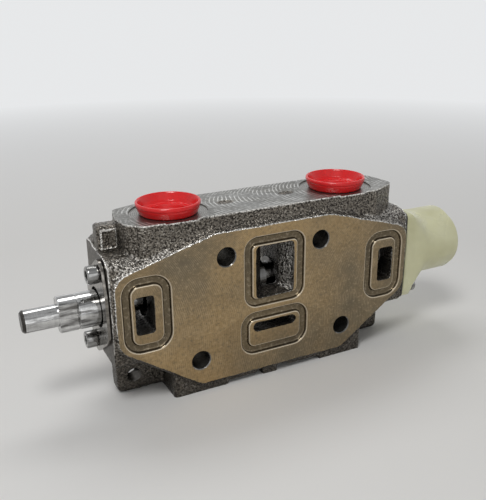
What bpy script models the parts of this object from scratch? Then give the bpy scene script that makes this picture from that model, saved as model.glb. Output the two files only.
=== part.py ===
"""One work section of a stacked hydraulic directional control valve.

The casting stands on its feet. X runs along the spool, from its bare end to the spring bonnet. Y runs from the
front stacking face to the rear one. Z is up. The origin is on the underside of the small boss between the feet.
"""

import math

import bmesh
import bpy
from mathutils import Matrix

MM = 0.001

# Clearances
SEAT_GAP = 0.3 * MM
RUNNING_GAP = 0.3 * MM
CUT_PAST = 1.0 * MM

# Casting: the stacked block between the two machined faces
SECTION_THICKNESS = 46.0 * MM
FACE_HALF_LENGTH = 94.3 * MM
FACE_TOP_Z = 94.9 * MM
FACE_TOP_HALF = 37.0 * MM
FACE_SHOULDER_Z = 78.8 * MM
FACE_WAIST_Z = 38.3 * MM
FACE_BOTTOM_HALF = 47.5 * MM
FACE_BOTTOM_Z = 5.9 * MM
FACE_SIDE_RADIUS = 10.0 * MM
FACE_FLAT_RADIUS = 6.0 * MM
CAST_SWELL = 2.0 * MM

# Casting: the end bosses that carry the seal plate and the bonnet
END_FACE_PROUD = 2.1 * MM
END_BOSS_DEPTH = 40.0 * MM
END_BOSS_BOTTOM_Z = 26.6 * MM
END_BOSS_SIDE_Z = 84.5 * MM
END_BOSS_TOP_Z = 90.0 * MM
END_BOSS_TOP_INSET = 3.4 * MM
END_BOSS_CROWN_Z = 94.0 * MM
END_BOSS_CROWN_INSET = 18.4 * MM
END_BOSS_ROUND = 3.0 * MM
SHOULDER_FRONT_Z = 83.0 * MM
SHOULDER_STEP_Z = 87.4 * MM
SHOULDER_SLOPE_DEPTH = 12.0 * MM

# Casting: the port pad on top
PAD_TOP_Z = 104.5 * MM
PAD_ROOT_Z = 72.0 * MM
PAD_FRONT_Y = 19.8 * MM
PAD_REAR_Y = 22.4 * MM
PAD_LEFT_INSET = 11.6 * MM
PAD_RIGHT_INSET = 6.9 * MM
PAD_ROUND = 5.0 * MM
PIT_HALF_SPACING = 20.0 * MM
PIT_RADIUS = 4.2 * MM
PIT_DEPTH = 0.5 * MM

# Casting: feet, lugs and the tag block
FOOT_HALF_LENGTH = 64.0 * MM
FOOT_DEPTH = 43.0 * MM
FOOT_TOP_Z = 40.0 * MM
FOOT_ROUND = 1.5 * MM
ARCH_LEFT_X = 30.0 * MM
ARCH_RIGHT_X = 33.0 * MM
ARCH_HEIGHT = 2.0 * MM
CENTRE_BOSS_LEFT_X = 7.0 * MM
CENTRE_BOSS_RIGHT_X = 2.7 * MM
NOTCH_WIDTH = 8.0 * MM
NOTCH_HEIGHT = 4.0 * MM
LUG_END_INSET = 4.9 * MM
LUG_FRONT_Y = -2.5 * MM
LUG_THICKNESS = 11.0 * MM
LUG_BOTTOM_Z = 0.4 * MM
LUG_NECK_Z = 20.0 * MM
LUG_TOP_Z = 32.0 * MM
LUG_ROUND = 5.0 * MM
LUG_HOLE_INSET = 10.1 * MM
LUG_HOLE_Z = 10.4 * MM
LUG_HOLE_RADIUS = 4.9 * MM
TAG_INSET = 1.2 * MM
TAG_LENGTH = 20.0 * MM
TAG_DEPTH = 10.0 * MM
TAG_BOTTOM_Z = 80.0 * MM
TAG_TOP_Z = 101.2 * MM
TAG_FRAME_WIDTH = 10.7 * MM
TAG_FRAME_HEIGHT = 12.4 * MM
TAG_FRAME_RAISED = 0.8 * MM
TAG_FRAME_MARGIN = 1.2 * MM

# Spool bore and galleries
SPOOL_Z = 56.3 * MM
SPOOL_RADIUS = 10.0 * MM
GALLERY_RADIUS = 14.0 * MM
PORT_GALLERY_WIDTH = 11.0 * MM
SIDE_WINDOW_INSET = 17.6 * MM
SIDE_WINDOW_WIDTH = 11.0 * MM
SIDE_WINDOW_HEIGHT = 22.1 * MM
CENTRE_WINDOW_Z = 67.5 * MM
CENTRE_WINDOW_WIDTH = 25.0 * MM
CENTRE_WINDOW_HEIGHT = 32.0 * MM
CENTRE_THROAT_X = 2.2 * MM
CENTRE_THROAT_WIDTH = 11.5 * MM
CENTRE_THROAT_HEIGHT = 29.0 * MM
CENTRE_THROAT_DEPTH = 24.0 * MM
SLOT_Z = 33.6 * MM
SLOT_LENGTH = 28.8 * MM
SLOT_HEIGHT = 6.0 * MM

# Seal grooves in the front face, each with its outer width, height and corner radius
GROOVE_WIDTH = 4.2 * MM
GROOVE_DEPTH = 2.3 * MM
SIDE_GROOVE_SHIFT = 1.4 * MM
SIDE_GROOVE_SIZE = (26.7 * MM, 43.0 * MM, 9.5 * MM)
CENTRE_GROOVE_Z = 67.9 * MM
CENTRE_GROOVE_SIZE = (38.4 * MM, 41.7 * MM, 7.5 * MM)
LOWER_GROOVE_Z = 29.9 * MM
LOWER_GROOVE_SIZE = (43.4 * MM, 25.9 * MM, 8.5 * MM)

# Work ports
PORT_X = 54.6 * MM
PORT_RADIUS = 13.5 * MM
PORT_DEPTH = 20.0 * MM
PORT_CHAMFER = 1.5 * MM
PORT_PASSAGE_RADIUS = 7.5 * MM
SPOTFACE_RADIUS = 21.8 * MM
SPOTFACE_DEPTH = 0.7 * MM

# Tie-rod holes
ROD_HOLE_RADIUS = 5.5 * MM
ROD_HOLE_CHAMFER = 0.6 * MM
ROD_UPPER = (30.6 * MM, 80.6 * MM)
ROD_LOWER = (47.6 * MM, 21.0 * MM)

# Spool
LAND_REACH = 13.6 * MM
TANG_LENGTH = 10.0 * MM
SHANK_LENGTH = 19.0 * MM
TANG_WIDTH = 12.4 * MM
ROD_RADIUS = 6.2 * MM
NECK_RADIUS = 6.5 * MM
SPOOL_CHAMFER = 1.2 * MM
TANK_NECK_WIDTH = 11.5 * MM
TANK_NECK_SHIFT = 2.05 * MM
PORT_NECK_INSET = 8.6 * MM
PORT_NECK_WIDTH = 22.0 * MM
CENTRE_NECK = (1.5 * MM, 7.5 * MM)
NOTCH_RADIUS = 2.0 * MM

# Seals round the spool
SEAL_OUTER_RADIUS = 14.2 * MM
SEAL_WIDTH = 3.4 * MM
WIPER_WIDTH = 2.6 * MM
WIPER_LIP = 0.9 * MM
WASHER_RADIUS = 17.9 * MM
WASHER_THICKNESS = 1.5 * MM

# Seal plate
PLATE_THICKNESS = 1.8 * MM
PLATE_HALF_DEPTH = 18.5 * MM
PLATE_DISC_RADIUS = 22.0 * MM
PLATE_LOBE_RADIUS = 7.6 * MM
PLATE_SCREW = (8.3 * MM, 22.6 * MM)

# Cap screws
SCREW_HEAD_RADIUS = 5.0 * MM
SCREW_HEAD_HEIGHT = 6.0 * MM
SCREW_SHANK_RADIUS = 3.0 * MM
SCREW_GRIP = 12.0 * MM
SCREW_SOCKET_RADIUS = 2.9 * MM
SCREW_SOCKET_DEPTH = 3.0 * MM
SCREW_CHAMFER = 0.5 * MM

# Bonnet
GASKET_THICKNESS = 0.8 * MM
FLANGE_HALF_DEPTH = 20.3 * MM
FLANGE_HALF_HEIGHT = 29.7 * MM
FLANGE_THICKNESS = 5.0 * MM
FLARE_LENGTH = 19.0 * MM
BONNET_RADIUS = 21.5 * MM
BONNET_LIFT = 1.3 * MM
BONNET_BARREL_LENGTH = 41.2 * MM
BONNET_CAP_RADIUS = 19.2 * MM
BONNET_STEP_LENGTH = 1.4 * MM
BONNET_LENGTH = 46.4 * MM
BONNET_EDGE_RADIUS = 1.8 * MM
BONNET_SCREW = (15.5 * MM, 22.5 * MM)
BONNET_SCREW_SEAT = 7.5 * MM
BONNET_BORE_RADIUS = 17.0 * MM

# Centring spring set
SPRING_SEAT_RADIUS = 16.2 * MM
SPRING_SEAT_THICKNESS = 1.8 * MM
SEAT_HUB_RADIUS = 9.6 * MM
SEAT_HUB_LENGTH = 4.0 * MM
SPRING_LENGTH = 27.6 * MM
SPRING_MEAN_RADIUS = 12.6 * MM
SPRING_WIRE_RADIUS = 1.5 * MM
SPRING_TURNS = 6.0
GUIDE_RADIUS = 6.4 * MM
BOLT_RADIUS = 4.0 * MM
BOLT_ENGAGEMENT = 14.0 * MM
BOLT_HEAD_RADIUS = 8.4 * MM
BOLT_HEAD_HEIGHT = 5.0 * MM
BOLT_SOCKET_RADIUS = 3.4 * MM
BOLT_SOCKET_DEPTH = 3.0 * MM
SPOOL_TRAVEL = 7.0 * MM

# Port plugs
PLUG_RIM_RADIUS = 18.0 * MM
PLUG_FOOT_RADIUS = 15.9 * MM
PLUG_HEIGHT = 6.3 * MM
PLUG_WALL = 1.5 * MM
PLUG_SHANK_RADIUS = 12.9 * MM
PLUG_SHANK_LENGTH = 11.0 * MM
PLUG_FLOOR_DEPTH = 5.4 * MM
PLUG_WELL_RADIUS = 10.5 * MM
PLUG_WELL_DEPTH = 2.6 * MM

ROUND_STEPS = 24
SMALL_STEPS = 16

HALF_THICKNESS = SECTION_THICKNESS / 2
END_FACE_X = FACE_HALF_LENGTH + END_FACE_PROUD
END_BOSS_TOP_X = END_FACE_X - END_BOSS_TOP_INSET
END_BOSS_CROWN_X = END_FACE_X - END_BOSS_CROWN_INSET
PAD_LEFT_X = END_FACE_X - PAD_LEFT_INSET
PAD_RIGHT_X = END_FACE_X - PAD_RIGHT_INSET
LUG_END_X = END_FACE_X - LUG_END_INSET
LUG_HOLE_X = LUG_END_X - LUG_HOLE_INSET
TAG_LEFT_X = END_FACE_X - TAG_INSET
SIDE_WINDOW_X = END_FACE_X - SIDE_WINDOW_INSET
SIDE_GROOVE_X = SIDE_WINDOW_X - SIDE_GROOVE_SHIFT
SHANK_END_X = -END_FACE_X - LAND_REACH
TANG_END_X = SHANK_END_X - TANG_LENGTH
SPOOL_TIP_X = TANG_END_X - SHANK_LENGTH
TANK_NECK_LEFT = TANK_NECK_SHIFT - SIDE_WINDOW_X - TANK_NECK_WIDTH / 2
TANK_NECK = (TANK_NECK_LEFT, TANK_NECK_LEFT + TANK_NECK_WIDTH)
PORT_NECK_LEFT = PORT_NECK_INSET - PORT_X
PORT_NECK = (PORT_NECK_LEFT, PORT_NECK_LEFT + PORT_NECK_WIDTH)
BORE_RADIUS = SPOOL_RADIUS + RUNNING_GAP
PLATE_FACE_X = END_FACE_X + SEAT_GAP
FLANGE_X = END_FACE_X + GASKET_THICKNESS + 2 * SEAT_GAP
WASHER_X = END_FACE_X - WASHER_THICKNESS
INNER_SEAT_X = END_FACE_X + SEAT_GAP
SPOOL_END_X = INNER_SEAT_X - SEAT_GAP
SPRING_X = INNER_SEAT_X + SPRING_SEAT_THICKNESS + SEAT_GAP
OUTER_SEAT_X = SPRING_X + SPRING_LENGTH + SEAT_GAP
SEAT_STOP_X = OUTER_SEAT_X + SPRING_SEAT_THICKNESS + SEAT_GAP
BOLT_HEAD_X = SEAT_STOP_X

ALONG_X = Matrix.Rotation(math.pi / 2, 4, "Y")
ALONG_Y = Matrix.Rotation(-math.pi / 2, 4, "X")
UPRIGHT = Matrix.Identity(4)
ON_XZ = Matrix(((1, 0, 0, 0), (0, 0, -1, 0), (0, 1, 0, 0), (0, 0, 0, 1)))
ON_YZ = Matrix(((0, 0, 1, 0), (1, 0, 0, 0), (0, 1, 0, 0), (0, 0, 0, 1)))


def clear_scene():
    """Removes whatever the scene holds."""
    for old in list(bpy.data.objects):
        bpy.data.objects.remove(old, do_unlink=True)


def new_collection(name):
    """A collection linked to the scene."""
    made = bpy.data.collections.new(name)
    bpy.context.scene.collection.children.link(made)
    return made


def new_material(name, colour, roughness, metallic):
    """A plain surface of one colour."""
    made = bpy.data.materials.new(name)
    made.use_nodes = True
    shader = made.node_tree.nodes["Principled BSDF"]
    shader.inputs["Base Color"].default_value = (*colour, 1.0)
    shader.inputs["Roughness"].default_value = roughness
    shader.inputs["Metallic"].default_value = metallic
    return made


def place(name, mesh, home, matrix, finish=None):
    """Puts a mesh in a collection. Without a finish it is a helper, drawn as wire and left out of renders."""
    obj = bpy.data.objects.new(name, mesh)
    home.objects.link(obj)
    obj.matrix_world = matrix
    if finish is None:
        obj.hide_render = True
        obj.display_type = "WIRE"
    else:
        mesh.materials.append(finish)
    return obj


def smooth(obj, degrees=35):
    """Shades round surfaces smooth and keeps edges sharper than the angle."""
    obj.data.shade_smooth()
    obj.data.set_sharp_from_angle(angle=math.radians(degrees))


def at(x, y, z):
    return Matrix.Translation((x, y, z))


def on_spool_axis(x=0.0):
    """The frame of a piece turned about the spool's axis, its own Z along the spool."""
    return at(x, 0, SPOOL_Z) @ ALONG_X


def turned(name, profile, home, matrix, finish=None, steps=ROUND_STEPS, closed=False):
    """A solid turned about its own Z from (radius, height) points that run down its outer side."""
    bm = bmesh.new()
    verts = [bm.verts.new((radius, 0, height)) for radius, height in profile]
    for first, second in zip(verts, verts[1:]):
        bm.edges.new((first, second))
    if closed:
        bm.edges.new((verts[-1], verts[0]))
    mesh = bpy.data.meshes.new(name)
    bm.to_mesh(mesh)
    bm.free()
    obj = place(name, mesh, home, matrix, finish)
    screw = obj.modifiers.new("turn", "SCREW")
    screw.axis = "Z"
    screw.steps = screw.render_steps = steps
    screw.use_merge_vertices = True
    screw.merge_threshold = 0.00001
    screw.use_smooth_shade = steps > 6
    return obj


def cylinder(name, radius, low, high, home, matrix, finish=None, steps=ROUND_STEPS):
    """A plain cylinder between two heights on its own Z."""
    return turned(name, [(0, high), (radius, high), (radius, low), (0, low)], home, matrix, finish, steps)


def prism(name, outlines, low, high, home, frame, finish=None):
    """A flat outline with its holes, filled and given thickness between two heights of its frame."""
    curve = bpy.data.curves.new(name, "CURVE")
    curve.dimensions = "2D"
    curve.fill_mode = "BOTH"
    curve.extrude = (high - low) / 2
    for outline in outlines:
        spline = curve.splines.new("POLY")
        spline.points.add(len(outline) - 1)
        for point, (u, v) in zip(spline.points, outline):
            point.co = (u, v, 0, 1)
        spline.use_cyclic_u = True
    flat = bpy.data.objects.new(name + "_outline", curve)
    bpy.context.scene.collection.objects.link(flat)
    graph = bpy.context.evaluated_depsgraph_get()
    mesh = bpy.data.meshes.new_from_object(flat.evaluated_get(graph))
    bpy.data.objects.remove(flat, do_unlink=True)
    weld(mesh)
    mesh.name = name
    return place(name, mesh, home, frame @ at(0, 0, (low + high) / 2), finish)


def weld(mesh):
    """Joins loose caps to their sides and turns all faces outwards."""
    bm = bmesh.new()
    bm.from_mesh(mesh)
    bmesh.ops.remove_doubles(bm, verts=bm.verts, dist=0.000001)
    bmesh.ops.recalc_face_normals(bm, faces=bm.faces)
    bm.to_mesh(mesh)
    bm.free()


def box(name, low, high, home):
    """A helper block between two corners."""
    bm = bmesh.new()
    bmesh.ops.create_cube(bm, size=1.0)
    size = [b - a for a, b in zip(low, high)]
    centre = [(a + b) / 2 for a, b in zip(low, high)]
    bmesh.ops.scale(bm, vec=size, verts=bm.verts)
    mesh = bpy.data.meshes.new(name)
    bm.to_mesh(mesh)
    bm.free()
    return place(name, mesh, home, at(*centre))


def loft(name, sections, home, matrix, finish=None, steps=40):
    """A closed skin over superellipse sections, each (height, half width, half depth, exponent, shift)."""
    bm = bmesh.new()
    rings = []
    for height, half_u, half_v, power, shift in sections:
        ring = []
        for step in range(steps):
            turn = 2 * math.pi * step / steps
            c, s = math.cos(turn), math.sin(turn)
            u = half_u * math.copysign(abs(c) ** (2 / power), c)
            v = half_v * math.copysign(abs(s) ** (2 / power), s)
            ring.append(bm.verts.new((u + shift, v, height)))
        rings.append(ring)
    for lower, upper in zip(rings, rings[1:]):
        for step in range(steps):
            following = (step + 1) % steps
            bm.faces.new((lower[step], lower[following], upper[following], upper[step]))
    bm.faces.new(list(reversed(rings[0])))
    bm.faces.new(rings[-1])
    bmesh.ops.recalc_face_normals(bm, faces=bm.faces)
    mesh = bpy.data.meshes.new(name)
    bm.to_mesh(mesh)
    bm.free()
    return place(name, mesh, home, matrix, finish)


def rounded(corners, radii, steps=4):
    """A closed outline, counter-clockwise, with an arc of the given radius at each corner."""
    if not isinstance(radii, (list, tuple)):
        radii = [radii] * len(corners)
    outline = []
    for index, ((x, y), radius) in enumerate(zip(corners, radii)):
        before = corners[index - 1]
        after = corners[(index + 1) % len(corners)]
        angle_in = math.atan2(y - before[1], x - before[0])
        turn = math.atan2(after[1] - y, after[0] - x) - angle_in
        turn = (turn + math.pi) % (2 * math.pi) - math.pi
        if radius <= 0 or abs(turn) < 0.01:
            outline.append((x, y))
            continue
        back = radius * math.tan(abs(turn) / 2)
        side = math.copysign(1, turn)
        start = (x - back * math.cos(angle_in), y - back * math.sin(angle_in))
        centre = (start[0] - side * radius * math.sin(angle_in), start[1] + side * radius * math.cos(angle_in))
        for step in range(steps + 1):
            heading = angle_in + turn * step / steps - side * math.pi / 2
            outline.append((centre[0] + radius * math.cos(heading), centre[1] + radius * math.sin(heading)))
    return outline


def rounded_rectangle(centre_x, centre_y, width, height, radius, steps=4):
    """A rectangle with round corners."""
    u, v = width / 2, height / 2
    corners = [(centre_x - u, centre_y - v), (centre_x + u, centre_y - v)]
    corners += [(centre_x + u, centre_y + v), (centre_x - u, centre_y + v)]
    return rounded(corners, radius, steps)


def mirrored(right_half):
    """A whole outline from its right half, which runs upwards, counter-clockwise."""
    return right_half + [(-x, y) for x, y in reversed(right_half)]


def grown(corners, distance):
    """A convex counter-clockwise outline with each side moved out."""
    lines = []
    for (x1, y1), (x2, y2) in zip(corners, corners[1:] + corners[:1]):
        length = math.hypot(x2 - x1, y2 - y1)
        nx, ny = (y2 - y1) / length, (x1 - x2) / length
        lines.append((nx, ny, nx * x1 + ny * y1 + distance))
    moved = []
    for (a1, b1, c1), (a2, b2, c2) in zip(lines[-1:] + lines[:-1], lines):
        det = a1 * b2 - a2 * b1
        moved.append(((c1 * b2 - c2 * b1) / det, (a1 * c2 - a2 * c1) / det))
    return moved


def bevel(obj, width, segments=2, degrees=40):
    """Rounds every edge sharper than the angle."""
    made = obj.modifiers.new("round", "BEVEL")
    made.width = width
    made.segments = segments
    made.limit_method = "ANGLE"
    made.angle_limit = math.radians(degrees)
    return obj


def boolean(obj, operand, operation):
    """Joins or cuts an object with another one, or with every object of a collection."""
    made = obj.modifiers.new(operation.lower(), "BOOLEAN")
    made.operation = operation
    made.solver = "EXACT"
    if isinstance(operand, bpy.types.Collection):
        made.operand_type = "COLLECTION"
        made.collection = operand
    else:
        made.object = operand


def finish_mesh(obj):
    """Applies the modifiers, so that the mesh can be shaded by its own angles."""
    graph = bpy.context.evaluated_depsgraph_get()
    mesh = bpy.data.meshes.new_from_object(obj.evaluated_get(graph))
    obj.modifiers.clear()
    obj.data = mesh
    smooth(obj)


class Finishes:
    """The materials of the valve."""

    def __init__(self):
        self.iron = new_material("cast_iron", (0.17, 0.15, 0.13), 0.55, 0.75)
        self.polished = new_material("polished_steel", (0.78, 0.79, 0.8), 0.18, 1.0)
        self.zinc = new_material("zinc_plated_steel", (0.62, 0.63, 0.62), 0.3, 1.0)
        self.plate = new_material("plate_steel", (0.4, 0.38, 0.35), 0.38, 1.0)
        self.spring = new_material("spring_steel", (0.3, 0.3, 0.31), 0.35, 1.0)
        self.rubber = new_material("nitrile_rubber", (0.02, 0.02, 0.02), 0.6, 0.0)
        self.gasket = new_material("gasket_fibre", (0.12, 0.16, 0.13), 0.8, 0.0)
        self.nylon = new_material("natural_nylon", (0.62, 0.62, 0.42), 0.4, 0.0)
        self.red = new_material("red_plastic", (0.6, 0.02, 0.03), 0.3, 0.0)


def face_corners():
    """The corners of the machined stacking face."""
    return mirrored([
        (FACE_BOTTOM_HALF, FACE_BOTTOM_Z),
        (FACE_HALF_LENGTH, FACE_WAIST_Z),
        (FACE_HALF_LENGTH, FACE_SHOULDER_Z),
        (FACE_TOP_HALF, FACE_TOP_Z),
    ])


def stacked_block(home, finish):
    """The block between the stacking faces. Its bevel leaves the machined face at its true outline."""
    sides = [FACE_FLAT_RADIUS, FACE_SIDE_RADIUS, FACE_SIDE_RADIUS, FACE_FLAT_RADIUS]
    radii = [radius + CAST_SWELL for radius in sides + sides[::-1]]
    outline = rounded(grown(face_corners(), CAST_SWELL), radii)
    block = prism("valve_body", [outline], -HALF_THICKNESS, HALF_THICKNESS, home, ON_XZ, finish)
    return bevel(block, CAST_SWELL, segments=2)


def add_end_bosses(home, cutters):
    """The bosses at both ends of the spool bore and the cast shoulders over them, lower along the front."""
    corners = mirrored([
        (END_FACE_X, END_BOSS_BOTTOM_Z),
        (END_FACE_X, END_BOSS_SIDE_Z),
        (END_BOSS_TOP_X, END_BOSS_TOP_Z),
        (END_BOSS_CROWN_X, END_BOSS_CROWN_Z),
    ])
    half = END_BOSS_DEPTH / 2
    boss = prism("end_bosses", [rounded(corners, END_BOSS_ROUND, 3)], -half, half, home, ON_XZ)
    bevel(boss, END_BOSS_ROUND / 2, segments=2)
    past = half + CUT_PAST
    slope = [
        (-past, -CUT_PAST), (past, -CUT_PAST), (past, END_BOSS_CROWN_Z + CUT_PAST),
        (TAG_DEPTH, END_BOSS_CROWN_Z + CUT_PAST), (TAG_DEPTH, SHOULDER_STEP_Z),
        (-half + SHOULDER_SLOPE_DEPTH, SHOULDER_STEP_Z), (-past, SHOULDER_FRONT_Z),
    ]
    reach = END_FACE_X + CUT_PAST
    boolean(boss, prism("shoulder_form", [slope], -reach, reach, cutters, ON_YZ), "INTERSECT")


def add_port_pad(home):
    """The raised pad that the work ports open in."""
    left, right = -PAD_LEFT_X, PAD_RIGHT_X
    corners = [
        (left + 9.0 * MM, -PAD_FRONT_Y),
        (right - 15.5 * MM, -PAD_FRONT_Y),
        (right - 1.5 * MM, 5.0 * MM - PAD_FRONT_Y),
        (right, -3.0 * MM),
        (right - 2.0 * MM, 11.0 * MM),
        (right - 22.0 * MM, PAD_REAR_Y),
        (left + 20.0 * MM, PAD_REAR_Y),
        (left + 3.0 * MM, PAD_REAR_Y - 5.5 * MM),
        (left, -1.0 * MM),
        (left + 1.5 * MM, 8.0 * MM - PAD_FRONT_Y),
    ]
    prism("port_pad", [rounded(corners, PAD_ROUND, 3)], PAD_ROOT_Z, PAD_TOP_Z, home, UPRIGHT)


def add_feet(home):
    """The block under the machined face that the section stands on."""
    half = FOOT_DEPTH / 2
    feet = box("feet", (-FOOT_HALF_LENGTH, -half, 0), (FOOT_HALF_LENGTH, half, FOOT_TOP_Z), home)
    bevel(feet, FOOT_ROUND)


def add_lugs(home):
    """The two ears low on the rear half, each with a tapped hole."""
    for side in (-1, 1):
        corners = [
            (LUG_END_X, LUG_BOTTOM_Z),
            (LUG_END_X, LUG_NECK_Z),
            (END_FACE_X, LUG_TOP_Z),
            (END_FACE_X - END_BOSS_ROUND, LUG_TOP_Z + 2 * END_BOSS_ROUND),
            (FOOT_HALF_LENGTH - LUG_ROUND, LUG_TOP_Z + 2 * END_BOSS_ROUND),
            (FOOT_HALF_LENGTH - LUG_ROUND, LUG_BOTTOM_Z),
        ]
        radii = [0.7 * LUG_ROUND, LUG_ROUND, 0, 0, 0, 0]
        if side < 0:
            corners = [(-x, z) for x, z in reversed(corners)]
            radii = radii[::-1]
        back = LUG_FRONT_Y + LUG_THICKNESS
        name = "lug_left" if side < 0 else "lug_right"
        lug = prism(name, [rounded(corners, radii, 4)], -back, -LUG_FRONT_Y, home, ON_XZ)
        bevel(lug, FOOT_ROUND / 2)


def add_tag_block(home):
    """The small cast block at the upper left with a raised square on its front."""
    left = -TAG_LEFT_X
    block = box("tag_block", (left, 0, TAG_BOTTOM_Z), (left + TAG_LENGTH, TAG_DEPTH, TAG_TOP_Z), home)
    bevel(block, 1.5 * MM)
    top = TAG_TOP_Z - TAG_FRAME_MARGIN
    low = (left + TAG_FRAME_MARGIN, -TAG_FRAME_RAISED, top - TAG_FRAME_HEIGHT)
    high = (left + TAG_FRAME_MARGIN + TAG_FRAME_WIDTH, TAG_DEPTH / 2, top)
    box("tag_frame", low, high, home)


def cut_grooves(home):
    """The four seal grooves in the front stacking face."""
    rings = [
        ("groove_left", -SIDE_GROOVE_X, SPOOL_Z, SIDE_GROOVE_SIZE),
        ("groove_right", SIDE_GROOVE_X, SPOOL_Z, SIDE_GROOVE_SIZE),
        ("groove_centre", 0, CENTRE_GROOVE_Z, CENTRE_GROOVE_SIZE),
        ("groove_lower", 0, LOWER_GROOVE_Z, LOWER_GROOVE_SIZE),
    ]
    for name, x, z, (width, height, radius) in rings:
        outer = rounded_rectangle(x, z, width, height, radius)
        inner_size = (width - 2 * GROOVE_WIDTH, height - 2 * GROOVE_WIDTH, radius - GROOVE_WIDTH)
        inner = rounded_rectangle(x, z, *inner_size)
        floor = HALF_THICKNESS - GROOVE_DEPTH
        prism(name, [outer, inner], floor, HALF_THICKNESS + CUT_PAST, home, ON_XZ)


def cut_windows(home):
    """The galleries that run through the section: two side windows, the waisted centre window and the slot."""
    reach = HALF_THICKNESS + CUT_PAST
    for side in (-1, 1):
        outline = rounded_rectangle(side * SIDE_WINDOW_X, SPOOL_Z, SIDE_WINDOW_WIDTH, SIDE_WINDOW_HEIGHT, 1.5 * MM)
        prism(f"side_window_{side}", [outline], -reach, reach, home, ON_XZ)
    slot = rounded_rectangle(0, SLOT_Z, SLOT_LENGTH, SLOT_HEIGHT, SLOT_HEIGHT / 2 - 0.05 * MM)
    prism("slot", [slot], -reach, reach, home, ON_XZ)
    mouth = (CENTRE_WINDOW_WIDTH / 2, CENTRE_WINDOW_HEIGHT / 2, 9, 0)
    throat = (CENTRE_THROAT_WIDTH / 2, CENTRE_THROAT_HEIGHT / 2, 9, CENTRE_THROAT_X)
    deep = CENTRE_THROAT_DEPTH / 2
    sections = [(-reach, *mouth), (-HALF_THICKNESS + 2 * MM, *mouth), (-deep, *throat), (deep, *throat)]
    sections += [(HALF_THICKNESS - 2 * MM, *mouth), (reach, *mouth)]
    loft("centre_window", sections, home, at(0, 0, CENTRE_WINDOW_Z) @ ON_XZ)


def cut_spool_bore(home):
    """The spool's bore with its port galleries, and the seal counterbores at both ends."""
    half = PORT_GALLERY_WIDTH / 2
    right = END_FACE_X + CUT_PAST
    washer_floor = WASHER_X - SEAT_GAP
    seal_floor = washer_floor - SEAL_WIDTH - 2 * SEAT_GAP
    seal_radius = SEAL_OUTER_RADIUS + SEAT_GAP
    washer_radius = WASHER_RADIUS + SEAT_GAP
    left_floor = END_FACE_X - SEAL_WIDTH - WIPER_WIDTH - 3 * SEAT_GAP
    profile = [
        (0, right), (washer_radius, right), (washer_radius, washer_floor),
        (seal_radius, washer_floor), (seal_radius, seal_floor), (BORE_RADIUS, seal_floor),
        (BORE_RADIUS, PORT_X + half), (GALLERY_RADIUS, PORT_X + half),
        (GALLERY_RADIUS, PORT_X - half), (BORE_RADIUS, PORT_X - half),
        (BORE_RADIUS, -PORT_X + half), (GALLERY_RADIUS, -PORT_X + half),
        (GALLERY_RADIUS, -PORT_X - half), (BORE_RADIUS, -PORT_X - half),
        (BORE_RADIUS, -left_floor), (seal_radius, -left_floor), (seal_radius, -right), (0, -right),
    ]
    turned("spool_bore", profile, home, on_spool_axis())


def cut_ports(home):
    """The two work ports: spotface, chamfered thread bore and the passage down to the gallery."""
    floor = PAD_TOP_Z - SPOTFACE_DEPTH
    profile = [
        (0, PAD_TOP_Z + CUT_PAST), (SPOTFACE_RADIUS, PAD_TOP_Z + CUT_PAST), (SPOTFACE_RADIUS, floor),
        (PORT_RADIUS + PORT_CHAMFER, floor), (PORT_RADIUS, floor - PORT_CHAMFER),
        (PORT_RADIUS, PAD_TOP_Z - PORT_DEPTH), (PORT_PASSAGE_RADIUS, PAD_TOP_Z - PORT_DEPTH - 3.0 * MM),
        (PORT_PASSAGE_RADIUS, SPOOL_Z), (0, SPOOL_Z),
    ]
    for side in (-1, 1):
        turned(f"port_{side}", profile, home, at(side * PORT_X, 0, 0))
        pit = PAD_TOP_Z - PIT_DEPTH
        cylinder(f"pit_{side}", PIT_RADIUS, pit, pit + 2 * MM, home, at(side * PIT_HALF_SPACING, 0, 0), steps=12)


def cut_bolt_holes(home):
    """Tie-rod holes through the section, tapped lug holes and the screw holes in both end faces."""
    wide = ROD_HOLE_RADIUS + ROD_HOLE_CHAMFER + CUT_PAST
    edge = HALF_THICKNESS + CUT_PAST
    inside = HALF_THICKNESS - ROD_HOLE_CHAMFER
    profile = [
        (0, edge), (wide, edge), (ROD_HOLE_RADIUS, inside), (ROD_HOLE_RADIUS, -inside), (wide, -edge), (0, -edge),
    ]
    for side in (-1, 1):
        for level, (x, z) in (("upper", ROD_UPPER), ("lower", ROD_LOWER)):
            turned(f"rod_hole_{level}_{side}", profile, home, at(side * x, 0, z) @ ALONG_Y, steps=SMALL_STEPS)
        front, back = LUG_FRONT_Y - CUT_PAST, LUG_FRONT_Y + LUG_THICKNESS + CUT_PAST
        where = at(side * LUG_HOLE_X, 0, LUG_HOLE_Z) @ ALONG_Y
        cylinder(f"lug_hole_{side}", LUG_HOLE_RADIUS, front, back, home, where, steps=SMALL_STEPS)
    radius = SCREW_SHANK_RADIUS + RUNNING_GAP
    deep = END_FACE_X - SCREW_GRIP - 2 * MM
    for side in (-1, 1):
        y, z = PLATE_SCREW
        where = at(0, -side * y, SPOOL_Z + side * z) @ ALONG_X
        cylinder(f"plate_screw_hole_{side}", radius, -END_FACE_X - CUT_PAST, -deep, home, where, steps=12)
        y, z = BONNET_SCREW
        where = at(0, side * y, SPOOL_Z + side * z) @ ALONG_X
        cylinder(f"bonnet_screw_hole_{side}", radius, deep, END_FACE_X + CUT_PAST, home, where, steps=12)


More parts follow.
